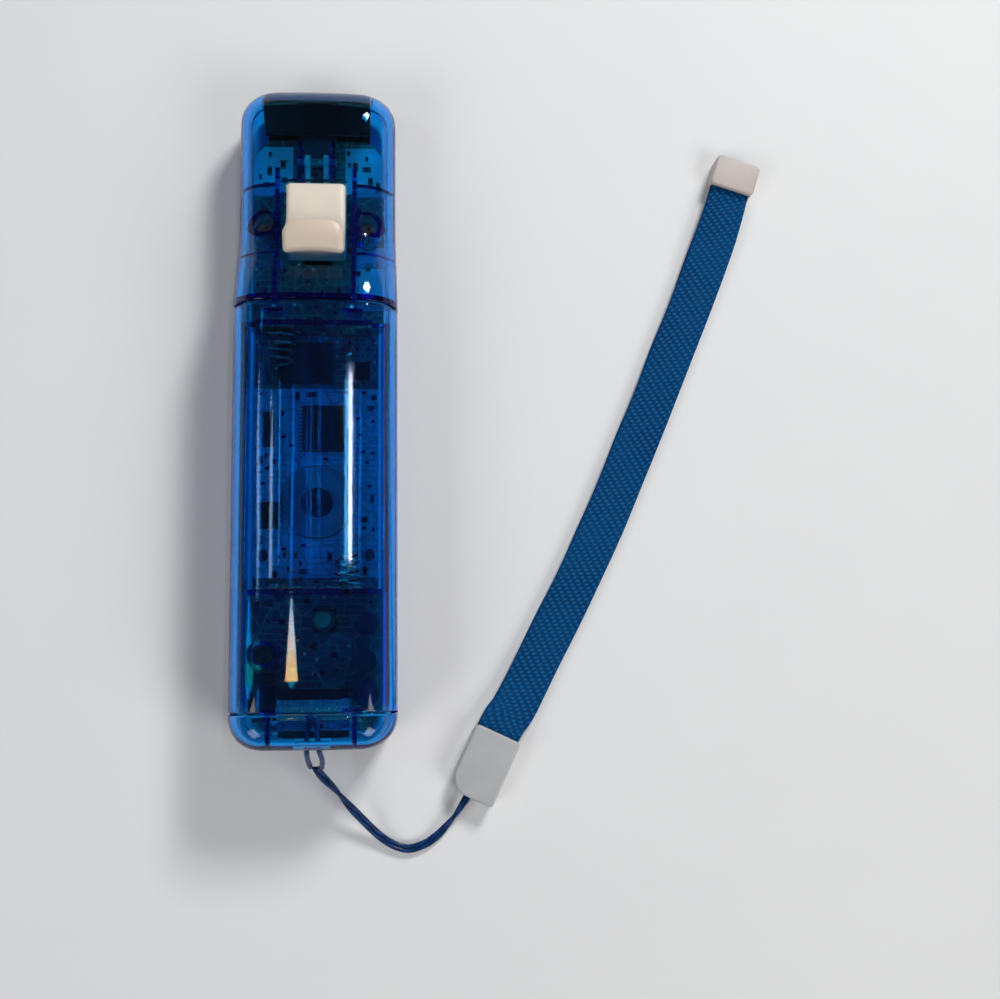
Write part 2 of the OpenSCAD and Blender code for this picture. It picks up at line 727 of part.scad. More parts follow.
module speaker_cone() {
    r = speaker_d / 2 - 1;
    z = speaker_z + 0.3;
    color(rubber) translate([speaker_at[0], speaker_at[1], 0]) rotate_extrude()
        polygon([[0, z + 1.3], [dish_r, z + 1.5], [r - 1.4, z + 0.2], [r - 0.7, z], [r, z + 0.3],
            [r, z + 0.6], [r - 0.7, z + 0.3], [r - 1.4, z + 0.5], [dish_r, z + 1.8], [0, z + 1.6]]);
}

module speaker_magnet() {
    color(steel) post(speaker_at, magnet_r, speaker_z + magnet_lift, board_top + 0.7);
}

module rumble_motor() {
    x = motor_at[0];
    color(steel) difference() {
        rod_y(motor_r, x, motor_rear, motor_rear + motor_l, motor_at[1]);
        rod_y(0.55, x, motor_rear + motor_l - 4, motor_rear + motor_l + 1, motor_at[1]);
    }
}

module rumble_boot() {
    x = motor_at[0];
    r = motor_r + boot_t;
    color(rubber) difference() {
        block(x - r, x + r, motor_rear + 1.2, motor_rear + motor_l - 1.2,
            board_top + 0.02, motor_at[1] + motor_r * 0.7);
        rod_y(motor_r + motor_gap, x, motor_rear, motor_rear + motor_l, motor_at[1]);
    }
}

module rumble_weight() {
    x = motor_at[0];
    color(steel) difference() {
        union() {
            rod_y(0.5, x, weight_y - 3.8, weight_y + 1, motor_at[1]);
            rod_y(weight_r, x, weight_y, weight_y + 2.4, motor_at[1]);
        }
        block(x - 4, x + 4, weight_y - 0.1, weight_y + 3, motor_at[1] + 0.9, motor_at[1] + 5);
    }
}

module expansion_connector() {
    hw = port_w / 2;
    y1 = port_front + port_depth + 2;
    color(dark) {
        difference() {
            block(-hw - port_wall, hw + port_wall, port_front, y1, port_z, port_floor + port_h + port_wall);
            block(-hw, hw, port_front - 1, port_front + port_depth, port_floor, port_floor + port_h);
        }
        block(-4.6, 4.6, port_front + 1.5, port_front + port_depth + 0.5, tongue_z, tongue_z + tongue_t);
    }
}

module expansion_shield() {
    hw = port_w / 2 + port_wall + 0.02;
    top = port_floor + port_h + port_wall + 0.02;
    y0 = port_front + 2;
    color(steel) {
        block(-hw - 0.3, hw + 0.3, y0, y0 + 7, top, top + 0.3);
        for (s = [-1, 1]) block(s * (hw + 0.15) - 0.15, s * (hw + 0.15) + 0.15, y0, y0 + 7, port_z, top + 0.3);
    }
}

module expansion_contacts() {
    color([0.8, 0.65, 0.3]) for (i = [0:5])
        block(-3.9 + i * 1.4, -3.1 + i * 1.4, port_front + 2.2, port_front + port_depth - 0.4,
            tongue_z + tongue_t, tongue_z + tongue_t + 0.2);
}

module chip(x0, x1, y0, y1, h) {
    color(dark) block(x0, x1, front_y - y0, front_y - y1, board_top + 0.02, board_top + h);
}

module main_chip() {
    chip(-3, 6, 82.6, 72, 1);
}

module radio_chip() {
    chip(-9, 3, 67, 57.5, 1);
}

module memory_chip() {
    chip(-13.5, -8.5, 100, 94, 0.9);
}

module motion_sensor() {
    chip(8.5, 12.5, 66, 62, 1);
}

module crystal() {
    color(steel) block(-12.6, -9.8, front_y - 81.5, front_y - 73.5, board_top + 0.02, board_top + 0.95);
}

module capacitors() {
    color(dark) for (i = [0:2]) {
        z = board_top + 0.02;
        difference() {
            post(capacitor_at[i], capacitor_r[i], z, z + capacitor_l[i]);
            difference() {
                post(capacitor_at[i], capacitor_r[i] + 1, z + 1, z + 1.5);
                post(capacitor_at[i], capacitor_r[i] - 0.2, z + 0.5, z + 2);
            }
        }
    }
}

module player_lights() {
    color([0.9, 0.9, 0.95]) for (x = light_xs)
        block(x - 0.8, x + 0.8, light_y - 0.4, light_y + 0.4, board_z - 0.7, board_z - 0.02);
}

module light_windows() {
    color([0.8, 0.9, 1]) for (x = light_xs) {
        block(x - 1.45, x + 1.45, light_y - 0.75, light_y + 0.75, face_z, face_in + 0.3);
        block(x - 1.9, x + 1.9, light_y - 1.2, light_y + 1.2, face_in + 0.02, face_in + 0.7);
    }
}

// Plate behind the end of one cell
module contact_plate(x, y) {
    block(x - plate_w / 2, x + plate_w / 2, y, y + plate_t, cell_z - plate_h / 2, cell_z + plate_h / 2);
}

module front_plus_contact() {
    y = bay_front - plate_t - 0.02;
    color(steel) contact_plate(cell_x, y);
    color(steel) rod_y(2.2, cell_x, y - 0.7, y + 0.1, cell_z);
}

module front_minus_contact() {
    color(steel) contact_plate(-cell_x, bay_front - plate_t - 0.02);
}

// One unbroken curl of wire, narrowing to its tip
module coil() {
    path = [for (a = [0:45:360 * spring_curls]) curl_point(a)];
    tube(path, [0, 1, 0], circle_points(spring_wire / 2, 6));
}
spring_path = [for (a = [0:9:360 * spring_curls]) curl_point(a)];
echo(spring_least_gap = min([for (i = [0:len(spring_path) - 1], j = [i + 20:1:len(spring_path) - 1])
    norm(spring_path[i] - spring_path[j])]) - spring_wire);

module front_contact_spring() {
    color(steel) translate([-cell_x, bay_front - plate_t - 0.02, cell_z]) rotate([0, 0, 180]) coil();
}

module rear_contact() {
    y = bay_rear + 0.02;
    color(steel) for (s = [-1, 1]) contact_plate(s * cell_x, y);
    color(steel) block(-cell_x, cell_x, y, y + plate_t, cell_z + 0.4, cell_z + plate_h / 2);
    color(steel) rod_y(2.2, -cell_x, y + plate_t - 0.1, y + plate_t + 0.7, cell_z);
}

module rear_contact_spring() {
    color(steel) translate([cell_x, bay_rear + 0.02 + plate_t, cell_z]) coil();
}

module shell_screws() {
    color(steel) for (p = screw_at) difference() {
        union() {
            post(p, screw_d / 2, face_in + 1.4, screw_seat + 0.1);
            post(p, screw_head_d / 2, screw_seat, screw_seat + 1.6);
        }
        translate([p[0], p[1], 0]) cross_shape(2.4, 0.6, screw_seat + 0.8, screw_seat + 2);
    }
}

module board_screws() {
    color(steel) for (p = board_screw_at) difference() {
        union() {
            post(p, 0.6, face_in + 1, board_top + 0.1);
            post(p, 1.4, board_top, board_top + 0.8);
        }
        translate([p[0], p[1], 0]) cross_shape(1.7, 0.4, board_top + 0.4, board_top + 1);
    }
}

module strap_loop() {
    color([0.05, 0.1, 0.3]) tube(spline(loop_route, 3), [1, 0, 0], circle_points(strand_d / 2, 8));
}

module strap_string() {
    color([0.05, 0.1, 0.3]) tube(spline(string_route, 2), [0, 0, 1], circle_points(string_r, 8));
}

module strap_clasp() {
    hw = clasp_w / 2;
    outline = concat(arc([4.5 - hw, 4.5], 4.5, 180, 270, 8), arc([hw - 0.8, 0.8], 0.8, 270, 360, 4),
        arc([hw - 0.8, clasp_l - 0.8], 0.8, 0, 90, 4), arc([0.8 - hw, clasp_l - 0.8], 0.8, 90, 180, 4));
    color(grey) translate([clasp_at[0], clasp_at[1], 0]) rotate([0, 0, clasp_turn]) difference() {
        translate([0, 0, 0.02]) linear_extrude(height = clasp_t) polygon(outline);
        block(-strap_w / 2 - 0.2, strap_w / 2 + 0.2, clasp_l - 5.5, clasp_l + 1, 0.98, clasp_t - 0.96);
        block(-1.5, 1.5, -1, 4.5, 1, 4);
    }
}

module wrist_strap() {
    p = spline(strap_route, 2);
    gather = [for (k = [0:len(strap_gather) - 1]) [k, strap_gather[k]]];
    color([0.05, 0.3, 0.55]) skin([for (i = [0:len(p) - 1])
        ring(p[i], along(p, i), [0, 0, 1], strap_points(strap_w / 2 * lookup(i / 2, gather), strap_t / 2))]);
}

module strap_slider() {
    hw = slider_w / 2;
    hl = slider_l / 2;
    color(grey) translate([slider_at[0], slider_at[1], 0]) rotate([0, 0, slider_turn]) difference() {
        translate([0, 0, 0.02]) linear_extrude(height = slider_t) polygon(plan_points(hw, hl, 1.6));
        block(-strap_w * 0.45 - slot_room, strap_w * 0.45 + slot_room, -hl - 1, hl + 1,
            2.2 - strap_t / 2 - slot_room, 2.2 + strap_t / 2 + slot_room);
    }
}

front_shell();
back_shell();
battery_cover();
trigger();
trigger_pin();
trigger_switch();
ir_window();
ir_camera();
ir_lens();
main_board();
d_pad();
d_pad_pivot();
a_button();
power_button();
minus_button();
home_button();
plus_button();
one_button();
two_button();
front_membrane();
middle_membrane();
rear_membrane();
sync_button();
sync_switch();
speaker_frame();
speaker_cone();
speaker_magnet();
rumble_motor();
rumble_boot();
rumble_weight();
expansion_connector();
expansion_shield();
expansion_contacts();
main_chip();
radio_chip();
memory_chip();
motion_sensor();
crystal();
capacitors();
player_lights();
light_windows();
front_plus_contact();
front_minus_contact();
front_contact_spring();
rear_contact();
rear_contact_spring();
shell_screws();
board_screws();
strap_loop();
strap_string();
strap_clasp();
wrist_strap();
strap_slider();
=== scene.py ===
"""Looks for the clear blue motion controller wand: its mouldings, trigger, inner parts and wrist strap."""

import random
from bisect import bisect_left
from itertools import accumulate
from math import acos, atan2, cos, degrees, dist, floor, pi, radians, sin, sqrt, tan

import bmesh
import bpy
from mathutils import Matrix, Vector


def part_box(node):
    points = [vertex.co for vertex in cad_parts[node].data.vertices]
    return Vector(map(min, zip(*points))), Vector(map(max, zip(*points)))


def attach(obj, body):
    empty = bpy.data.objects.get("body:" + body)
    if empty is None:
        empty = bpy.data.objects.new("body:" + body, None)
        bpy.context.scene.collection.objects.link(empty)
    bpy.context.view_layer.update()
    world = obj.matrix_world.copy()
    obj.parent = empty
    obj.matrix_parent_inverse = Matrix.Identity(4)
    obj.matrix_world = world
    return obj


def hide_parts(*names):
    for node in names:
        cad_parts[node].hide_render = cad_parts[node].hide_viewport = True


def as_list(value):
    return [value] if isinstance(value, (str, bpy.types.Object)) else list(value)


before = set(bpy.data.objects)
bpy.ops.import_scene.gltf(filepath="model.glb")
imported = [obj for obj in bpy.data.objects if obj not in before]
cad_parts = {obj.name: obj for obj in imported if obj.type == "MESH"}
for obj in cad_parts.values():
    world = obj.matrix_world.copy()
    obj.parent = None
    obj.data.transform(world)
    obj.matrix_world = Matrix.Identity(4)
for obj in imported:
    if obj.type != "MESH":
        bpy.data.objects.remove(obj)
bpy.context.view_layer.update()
scene = bpy.context.scene
MM = 0.001


def span(node):
    """Lowest and highest corners of a CAD node, in millimetres."""
    low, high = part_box(node)
    return low / MM, high / MM


def new_object(name, data):
    thing = bpy.data.objects.new(name, data)
    scene.collection.objects.link(thing)
    return thing


# Main sizes, read from the CAD nodes where they show there
FACE, SIDE = span("front_shell")
COVER_LOW, COVER_HIGH = span("battery_cover")
HALF = SIDE.x
FRONT = SIDE.y
PART = SIDE.z
FACE_Z = FACE.z
BACK_Z = COVER_HIGH.z
NOSE_Z = 20.2
GAP = 0.3
SEAM = COVER_HIGH.y + GAP
TAIL = COVER_LOW.y - GAP
LEDGE = COVER_LOW.z - GAP
RAMP = 42
WALL = 1.6
PLAN_R = 7
BACK_R = 9
FACE_R = 2.5
END_R = 4.5
NOSE_R = 9
NOSE_DRAWN = 0.45
CROWN = 90
BOARD_TOP = span("main_board")[1].z
COVE_Y = 39
BAY_FRONT, BAY_REAR = 17.2, -40.0
BAY_TOP = 18.8
DECK_REAR = -64.6
DECK_DIP = 0.45


# Camera, at the photograph's place

FRAME_WIDTH = 1000


def add_camera(position, azimuth, elevation, roll, focal):
    """Camera looking down the given direction; focal is in pixels of the frame."""
    az, el, turn = (radians(a) for a in (azimuth, elevation, roll))
    back = Vector((sin(az) * cos(el), -cos(az) * cos(el), sin(el)))
    right = (-back).cross(Vector((0, 1, 0))).normalized()
    up = back.cross(right)
    facing = Matrix((right, up, back)).transposed() @ Matrix.Rotation(turn, 3, "Z")
    data = bpy.data.cameras.new("camera")
    data.lens = data.sensor_width * focal / FRAME_WIDTH
    data.clip_start = 0.01
    scene.camera = new_object("camera", data)
    scene.camera.matrix_world = Matrix.Translation(Vector(position) * MM) @ facing.to_4x4()


add_camera((18.1, -52.2, 301.4), azimuth=-35.3, elevation=82.2, roll=-0.53, focal=1300)


# Mesh helpers, all in millimetres

def make(name, points, faces, sharp=35):
    """New object from points and faces, which are turned outward."""
    mesh = bpy.data.meshes.new(name)
    mesh.from_pydata([Vector(p) * MM for p in points], [], faces)
    work = bmesh.new()
    work.from_mesh(mesh)
    bmesh.ops.recalc_face_normals(work, faces=work.faces)
    work.to_mesh(mesh)
    work.free()
    piece = new_object(name, mesh)
    shade(piece, sharp)
    return piece


def shade(piece, sharp=35):
    """Smooth shading, with edges sharper than an angle left crisp."""
    piece.data.shade_smooth()
    piece.data.set_sharp_from_angle(angle=radians(sharp))


def arc(centre, radius, start, end, steps):
    """Points of an arc, from one angle to another in degrees."""
    angles = [radians(start + (end - start) * k / steps) for k in range(steps + 1)]
    return [(centre[0] + radius * cos(a), centre[1] + radius * sin(a)) for a in angles]


def loft_faces(count, size):
    """Quads between rings of equal size, and a cap on each end."""
    faces = [
        (i * size + j, i * size + (j + 1) % size, (i + 1) * size + (j + 1) % size, (i + 1) * size + j)
        for i in range(count - 1)
        for j in range(size)
    ]
    return faces + [tuple(range(size)), tuple(range((count - 1) * size, count * size))]


def loft(name, rings, sharp=35):
    """Closed piece through rings of equal size."""
    return make(name, [p for ring in rings for p in ring], loft_faces(len(rings), len(rings[0])), sharp)


def inset_outline(outline, amount, tight=()):
    """Counter-clockwise outline drawn in along its normals, less near its tight corners."""
    drawn = []
    for k, point in enumerate(outline):
        before = Vector(outline[k - 1])
        after = Vector(outline[(k + 1) % len(outline)])
        along = (after - before).normalized()
        step = min([amount] + [max(0.5 * r, 0.5 * dist(point, centre)) for centre, r in tight])
        drawn.append((point[0] - along.y * step, point[1] + along.x * step))
    return drawn


def slab(name, outline, low, high, place, edge=0.2, steps=3):
    """Outline run from low to high with rounded rims; place turns (a, b, height) into a point."""
    levels = [(low + edge * (1 - sin(a)), edge * (1 - cos(a)))
              for a in (radians(90 * k / steps) for k in range(steps, -1, -1))]
    levels += [(high + low - level, drawn) for level, drawn in reversed(levels)]
    rings = [[place(a, b, level) for a, b in inset_outline(outline, drawn)] for level, drawn in levels]
    return loft(name, rings)


def box_outline(a0, a1, b0, b1, radius, steps=4):
    """Rounded rectangle, counter-clockwise."""
    return (arc((a1 - radius, b0 + radius), radius, -90, 0, steps)
            + arc((a1 - radius, b1 - radius), radius, 0, 90, steps)
            + arc((a0 + radius, b1 - radius), radius, 90, 180, steps)
            + arc((a0 + radius, b0 + radius), radius, 180, 270, steps))


def upright(x, y, z):
    """Placing of an outline in X and Y."""
    return (x, y, z)


def along_x(y, z, x):
    """Placing of an outline in Y and Z."""
    return (x, y, z)


def along_y(x, z, y):
    """Placing of an outline in X and Z; its height runs to the rear."""
    return (x, -y, z)


def block(low, high, edge=0.15):
    """Block between two corners with softened edges."""
    edge = min(edge, 0.3 * min(b - a for a, b in zip(low, high)))
    outline = box_outline(low[0], high[0], low[1], high[1], edge, 2)
    return slab("block", outline, low[2], high[2], upright, edge, 2)


def circle(centre, radius, sides):
    return arc(centre, radius, 0, 360 * (sides - 1) / sides, sides - 1)


def post(x, y, radius, low, high, edge=0.1):
    outline = circle((x, y), radius, 48)
    return slab("post", outline, low, high, upright, edge, 2)


def rod(radius, x0, x1, y, z):
    """Cylinder across the wand."""
    outline = circle((y, z), radius, 32)
    return slab("rod", outline, x0, x1, along_x, 0.05, 1)


def apply_modifiers(piece):
    """Gives a piece the mesh that its modifiers make."""
    graph = bpy.context.evaluated_depsgraph_get()
    result = bpy.data.meshes.new_from_object(piece.evaluated_get(graph))
    piece.modifiers.clear()
    piece.data = result
    return piece


def combine(base, others, operation):
    """Boolean of a base with several pieces at once, which are used up."""
    group = bpy.data.collections.new("operands")
    for piece in others:
        group.objects.link(piece)
    modifier = base.modifiers.new("combine", "BOOLEAN")
    modifier.operation = operation
    modifier.operand_type = "COLLECTION"
    modifier.collection = group
    modifier.solver = "EXACT"
    apply_modifiers(base)
    for piece in others:
        bpy.data.objects.remove(piece)
    bpy.data.collections.remove(group)
    shade(base)
    return base


def settle_normals(piece):
    """Gives large flat faces of a cut moulding their own normals, so that gloss stays straight on them."""
    modifier = piece.modifiers.new("normals", "WEIGHTED_NORMAL")
    modifier.keep_sharp = True
    return apply_modifiers(piece)


def merged(pieces, name):
    """One object from several, as separate shells of one mesh."""
    work = bmesh.new()
    for piece in pieces:
        work.from_mesh(piece.data)
        bpy.data.objects.remove(piece)
    mesh = bpy.data.meshes.new(name)
    work.to_mesh(mesh)
    work.free()
    whole = new_object(name, mesh)
    shade(whole)
    return whole


def dress(piece, body, material, slot, *replaced):
    """Gives a piece its material and body, and hides the CAD nodes that it stands for; its slot is not used.
    """
    piece.data.materials.clear()
    piece.data.materials.append(material)
    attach(piece, body)
    if replaced:
        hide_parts(*replaced)
    return piece


# Material helpers

def rgba(color):
    """Colour of three parts with a full fourth one; anything else as it is."""
    return (*color, 1) if isinstance(color, tuple) and len(color) == 3 else color


class Nodes:
    """Node tree with short ways to add to it; an input is a value or another node's output."""

    def __init__(self, tree):
        self.tree = tree

    def connect(self, node, inputs):
        for key, value in inputs.items():
            if isinstance(value, bpy.types.NodeSocket):
                self.tree.links.new(value, node.inputs[key])
            else:
                node.inputs[key].default_value = value

    def add(self, kind, inputs=None, **settings):
        """Outputs of a new shader node."""
        node = self.tree.nodes.new("ShaderNode" + kind)
        for name, value in settings.items():
            setattr(node, name, value)
        self.connect(node, inputs or {})
        return node.outputs

    def place(self, scale=(1, 1, 1), turn=(0, 0, 0)):
        """Position on the piece, stretched and turned."""
        spot = self.add("TexCoord")["Object"]
        return self.add("Mapping", {"Vector": spot, "Scale": scale, "Rotation": turn})["Vector"]

    def axes(self, vector):
        """The parts of a vector, by name."""
        return self.add("SeparateXYZ", {"Vector": vector})

    def noise(self, scale, detail=4, stretch=(1, 1, 1), turn=(0, 0, 0)):
        inputs = {"Vector": self.place(stretch, turn), "Scale": scale, "Detail": detail}
        return self.add("TexNoise", inputs)["Fac"]

    def remap(self, value, low, high, new_low=0, new_high=1):
        """Value moved from one range to another, and held inside it."""
        inputs = {"Value": value, "From Min": low, "From Max": high, "To Min": new_low, "To Max": new_high}
        return self.add("MapRange", inputs)["Result"]

    def cloud(self, scale, detail, low=0, high=1):
        """Noise spread over a range."""
        return self.remap(self.noise(scale, detail), 0.3, 0.7, low, high)

    def ramp(self, factor, stops):
        """Colours along a factor; each stop is a place and a colour or grey."""
        result = self.add("ValToRGB", {"Fac": factor})["Color"]
        elements = result.node.color_ramp.elements
        while len(elements) < len(stops):
            elements.new(0.5)
        for element, (place, color) in zip(elements, stops):
            element.position = place
            element.color = rgba(color if isinstance(color, tuple) else (color,) * 3)
        return result

    def calc(self, operation, first, second=0.0):
        return self.add("Math", {0: first, 1: second}, operation=operation)["Value"]

    def times(self, first, second):
        return self.calc("MULTIPLY", first, second)

    def mix(self, factor, first, second):
        inputs = {0: factor, 6: rgba(first), 7: rgba(second)}
        return self.add("Mix", inputs, data_type="RGBA")[2]

    def band(self, value, low, high):
        """One between two places in millimetres, and nought outside."""
        above = self.calc("GREATER_THAN", value, low * MM)
        return self.times(above, self.calc("LESS_THAN", value, high * MM))


class Surface(Nodes):
    """Principled material; what is the same all over is set on the shader's own sockets."""

    def __init__(self, name, color, roughness, **sockets):
        self.material = bpy.data.materials.new(name)
        self.material.use_nodes = True
        super().__init__(self.material.node_tree)
        self.shader = self.tree.nodes["Principled BSDF"]
        self.feed(Base_Color=rgba(color), Roughness=roughness, **sockets)

    def feed(self, **sockets):
        self.connect(self.shader, {name.replace("_", " "): value for name, value in sockets.items()})

    def output(self, kind, socket):
        """Makes a socket the material's surface or volume."""
        self.connect(self.tree.nodes["Material Output"], {kind: socket})

    def bump(self, height, strength, distance):
        """Fine relief, its depth in millimetres."""
        inputs = {"Height": height, "Strength": strength, "Distance": distance * MM}
        self.feed(Normal=self.add("Bump", inputs)["Normal"])


# Materials

WARM_WHITE = (0.76, 0.68, 0.58)
# Colour of the board's pale patches, which are painted light.
PAINTED_LIGHT_PATCH = (0.6, 0.9, 0.95)


def clear_blue_material():
    """Clear blue moulding: deeper in colour where it is thick, with smears and hair scratches."""
    look = Surface("clear_blue", (0.45, 0.94, 1.0), 0.03, Transmission_Weight=1.0, IOR=1.42)
    depth = look.add("VolumeAbsorption", {"Color": (0.0, 0.81, 0.986, 1), "Density": 1400})
    look.output("Volume", depth["Volume"])
    look.feed(Roughness=look.remap(look.noise(90, 3, (1, 0.35, 1)), 0.35, 0.75, 0.015, 0.07))
    first = look.ramp(look.noise(420, 2, (1, 0.03, 1), (0, 0, 0.25)), [(0.66, 0.0), (0.7, 1.0)])
    second = look.ramp(look.noise(380, 2, (0.04, 1, 1), (0, 0, 0.6)), [(0.68, 0.0), (0.72, 1.0)])
    pits = look.ramp(look.noise(1900, 1), [(0.7, 0.0), (0.74, 0.6)])
    look.bump(look.calc("MAXIMUM", look.calc("MAXIMUM", first, second), pits), 0.25, 0.02)
    return look.material


def moulded_material(name, color, roughness, speckle, grain, tint=None, **sockets):
    """Moulded plastic, a little uneven in colour and gloss, with a fine grain; tint changes its colour."""
    look = Surface(name, color, roughness, **sockets)
    dark = tuple(c * (1 - 2 * speckle) for c in color)
    light = tuple(min(1, c * (1 + speckle)) for c in color)
    plain = look.mix(look.cloud(160, 5), dark, light)
    look.feed(Base_Color=tint(look, plain) if tint else plain,
              Roughness=look.cloud(700, 3, roughness * 0.85, roughness * 1.2))
    look.bump(look.noise(2600, 2), 0.25, grain)
    return look.material


def painted_skin_light(look, plain):
    """Painted light: bluer where the window lies under the clear skin of the nose, for the blue light seen
    there through the skin.
    """
    at = look.axes(look.place())
    skin = look.times(look.band(at["Y"], 69.6, 76), look.band(at["Z"], 14.2, 22))
    return look.mix(skin, plain, (0.01, 0.07, 0.2))


def painted_trigger_shade(look, plain):
    """Painted shade: darker and warmer on the lip, and darker still in the cove in front of the lip."""
    at = look.axes(look.place())
    # Painted shade: the lip is darkened and warmed towards its top.
    lip_shade = look.remap(at["Z"], (NOSE_Z + 4) * MM, (NOSE_Z + 8) * MM)
    warm = look.mix(lip_shade, plain, (0.66, 0.55, 0.45))
    # Painted shade: the low cove in front of the lip is darkened.
    past = look.remap(at["Y"], COVE_Y * MM, (COVE_Y + 5) * MM, 0.5, 0)
    cove = look.times(past, look.calc("SUBTRACT", 1.0, lip_shade))
    return look.mix(cove, warm, (0.42, 0.35, 0.28))


def metal_material(name, color, roughness, lay):
    """Bare metal with fine marks along its lay and a little tarnish."""
    look = Surface(name, color, roughness, Metallic=1.0)
    marks = look.noise(1500, 3, lay)
    dull = tuple(c * 0.72 for c in color)
    look.feed(Base_Color=look.mix(look.remap(look.noise(350, 4), 0.35, 0.7), color, dull),
              Roughness=look.remap(marks, 0.3, 0.7, roughness * 0.7, roughness * 1.4))
    look.bump(marks, 0.2, 0.01)
    return look.material


def board_material():
    """Circuit board: green mask with copper runs under it, vias and pads; paler in a band along the bay, and
    with pale patches of painted light beside the nose and at the right of the ramp.
    """
    look = Surface("board_green", (0.02, 0.2, 0.16), 0.35)
    place = look.place()
    at = look.axes(place)
    cells = look.add("TexVoronoi", {"Vector": place, "Scale": 260},
                     feature="DISTANCE_TO_EDGE", distance="MANHATTAN")
    runs = look.ramp(cells["Distance"], [(0.03, 1.0), (0.06, 0.0)])
    fine = look.add("TexBrick", {
        "Vector": place, "Scale": 1, "Mortar Size": 0.00016, "Brick Width": 0.0075, "Row Height": 0.0013,
        "Color1": (0, 0, 0, 1), "Color2": (0, 0, 0, 1), "Mortar": (1, 1, 1, 1)})["Color"]
    where = look.ramp(look.noise(85, 2), [(0.5, 0.0), (0.54, 1.0)])
    copper = look.calc("MAXIMUM", runs, look.times(fine, where))
    middle = look.band(at["Y"], -37, 6)
    beside = look.calc("GREATER_THAN", look.calc("ABSOLUTE", at["X"]), 6 * MM)
    # Painted light: pale patches beside the nose and at the right of the ramp stand in for light that shows
    # through there.
    nose = look.times(look.band(at["Y"], 52, 63), beside)
    right = look.times(look.band(at["Y"], 23, 39), look.calc("GREATER_THAN", at["X"], 9 * MM))
    mask = look.mix(look.cloud(45, 4), (0.012, 0.1, 0.085), (0.03, 0.2, 0.16))
    mask = look.mix(look.times(middle, 0.92), mask, (0.3, 0.86, 0.8))
    mask = look.mix(look.times(nose, 0.92), mask, PAINTED_LIGHT_PATCH)
    mask = look.mix(look.times(right, 0.9), mask, PAINTED_LIGHT_PATCH)
    covered = look.calc("SUBTRACT", 0.55, look.times(look.calc("ADD", nose, right), 0.55))
    tracks = look.mix(look.times(copper, covered), mask, (0.1, 0.42, 0.3))
    vias = look.add("TexVoronoi", {"Vector": place, "Scale": 330, "Randomness": 0.9})
    pads = look.ramp(vias["Distance"], [(0.13, 1.0), (0.17, 0.0)])
    look.feed(Base_Color=look.mix(pads, tracks, (0.75, 0.68, 0.45)),
              Roughness=look.remap(pads, 0, 1, 0.38, 0.2))
    look.bump(copper, 0.3, 0.05)
    return look.material


def rubber_material():
    """Grey silicone of the key mats."""
    look = Surface("key_rubber", (0.42, 0.43, 0.45), 0.7, Subsurface_Weight=0.2, Subsurface_Scale=0.001)
    dust = look.noise(900, 5)
    look.feed(Base_Color=look.mix(look.remap(dust, 0.4, 0.75), (0.36, 0.37, 0.39), (0.48, 0.49, 0.5)))
    look.bump(dust, 0.3, 0.03)
    return look.material


def capacitor_material():
    """Dark sleeve with a dull metal top."""
    look = Surface("capacitor_sleeve", (0.02, 0.025, 0.04), 0.35)
    facing = look.axes(look.add("TexCoord")["Normal"])
    top = look.calc("GREATER_THAN", facing["Z"], 0.8)
    sleeve = look.mix(look.noise(240, 3), (0.012, 0.016, 0.03), (0.035, 0.045, 0.07))
    look.feed(Base_Color=look.mix(top, sleeve, (0.07, 0.08, 0.1)), Metallic=look.times(top, 0.9))
    look.bump(look.noise(1800, 3), 0.2, 0.02)
    return look.material


def webbing_material():
    """Woven blue webbing, with painted shade between the yarns and painted light on their crowns, read from
    the weave height.
    """
    look = Surface("webbing_blue", (0.005, 0.08, 0.26), 0.7, Sheen_Weight=0.01, Sheen_Roughness=0.4,
                   Sheen_Tint=(0.3, 0.6, 1.0, 1), Specular_IOR_Level=0.03)
    height = look.add("Attribute", attribute_name="weave")["Fac"]
    yarn = look.noise(5200, 3, (1, 0.4, 1), (0, 0, 0.45))
    # Painted shade and light: dark down in the gaps between the yarns, pale on their crowns.
    stops = [(0.0, (0.001, 0.02, 0.07)), (0.5, (0.002, 0.052, 0.175)), (1.0, (0.014, 0.14, 0.36))]
    fading = look.remap(look.noise(60, 3), 0.35, 0.7, 0, 0.4)
    faded = look.mix(fading, look.ramp(height, stops), (0.002, 0.075, 0.21))
    look.feed(Base_Color=look.mix(look.remap(yarn, 0.4, 0.7, 0, 0.2), faded, (0.02, 0.16, 0.4)))
    look.bump(yarn, 0.5, 0.06)
    return look.material


def cord_material():
    """Thin shiny dark-blue cord."""
    look = Surface("cord_blue", (0.003, 0.02, 0.09), 0.24, Coat_Weight=0.1, Coat_Roughness=0.12,
                   Specular_IOR_Level=0.3)
    twist = look.add("Attribute", attribute_name="twist")["Fac"]
    look.feed(Base_Color=look.mix(twist, (0.002, 0.012, 0.06), (0.008, 0.05, 0.18)))
    look.bump(look.noise(3000, 3), 0.25, 0.02)
    return look.material


clear_blue = clear_blue_material()
warm_white = moulded_material("warm_white", WARM_WHITE, 0.42, 0.02, 0.012)
# Trigger plastic with painted shade on its lip and in its cove.
shaded_trigger = moulded_material("shaded_trigger", WARM_WHITE, 0.42, 0.02, 0.012, painted_trigger_shade)
clasp_white = moulded_material("clasp_white", (0.44, 0.445, 0.455), 0.45, 0.03, 0.015)
slider_white = moulded_material("slider_white", (0.5, 0.44, 0.41), 0.45, 0.03, 0.015)
dark_plastic = moulded_material("dark_plastic", (0.016, 0.017, 0.019), 0.5, 0.2, 0.03)
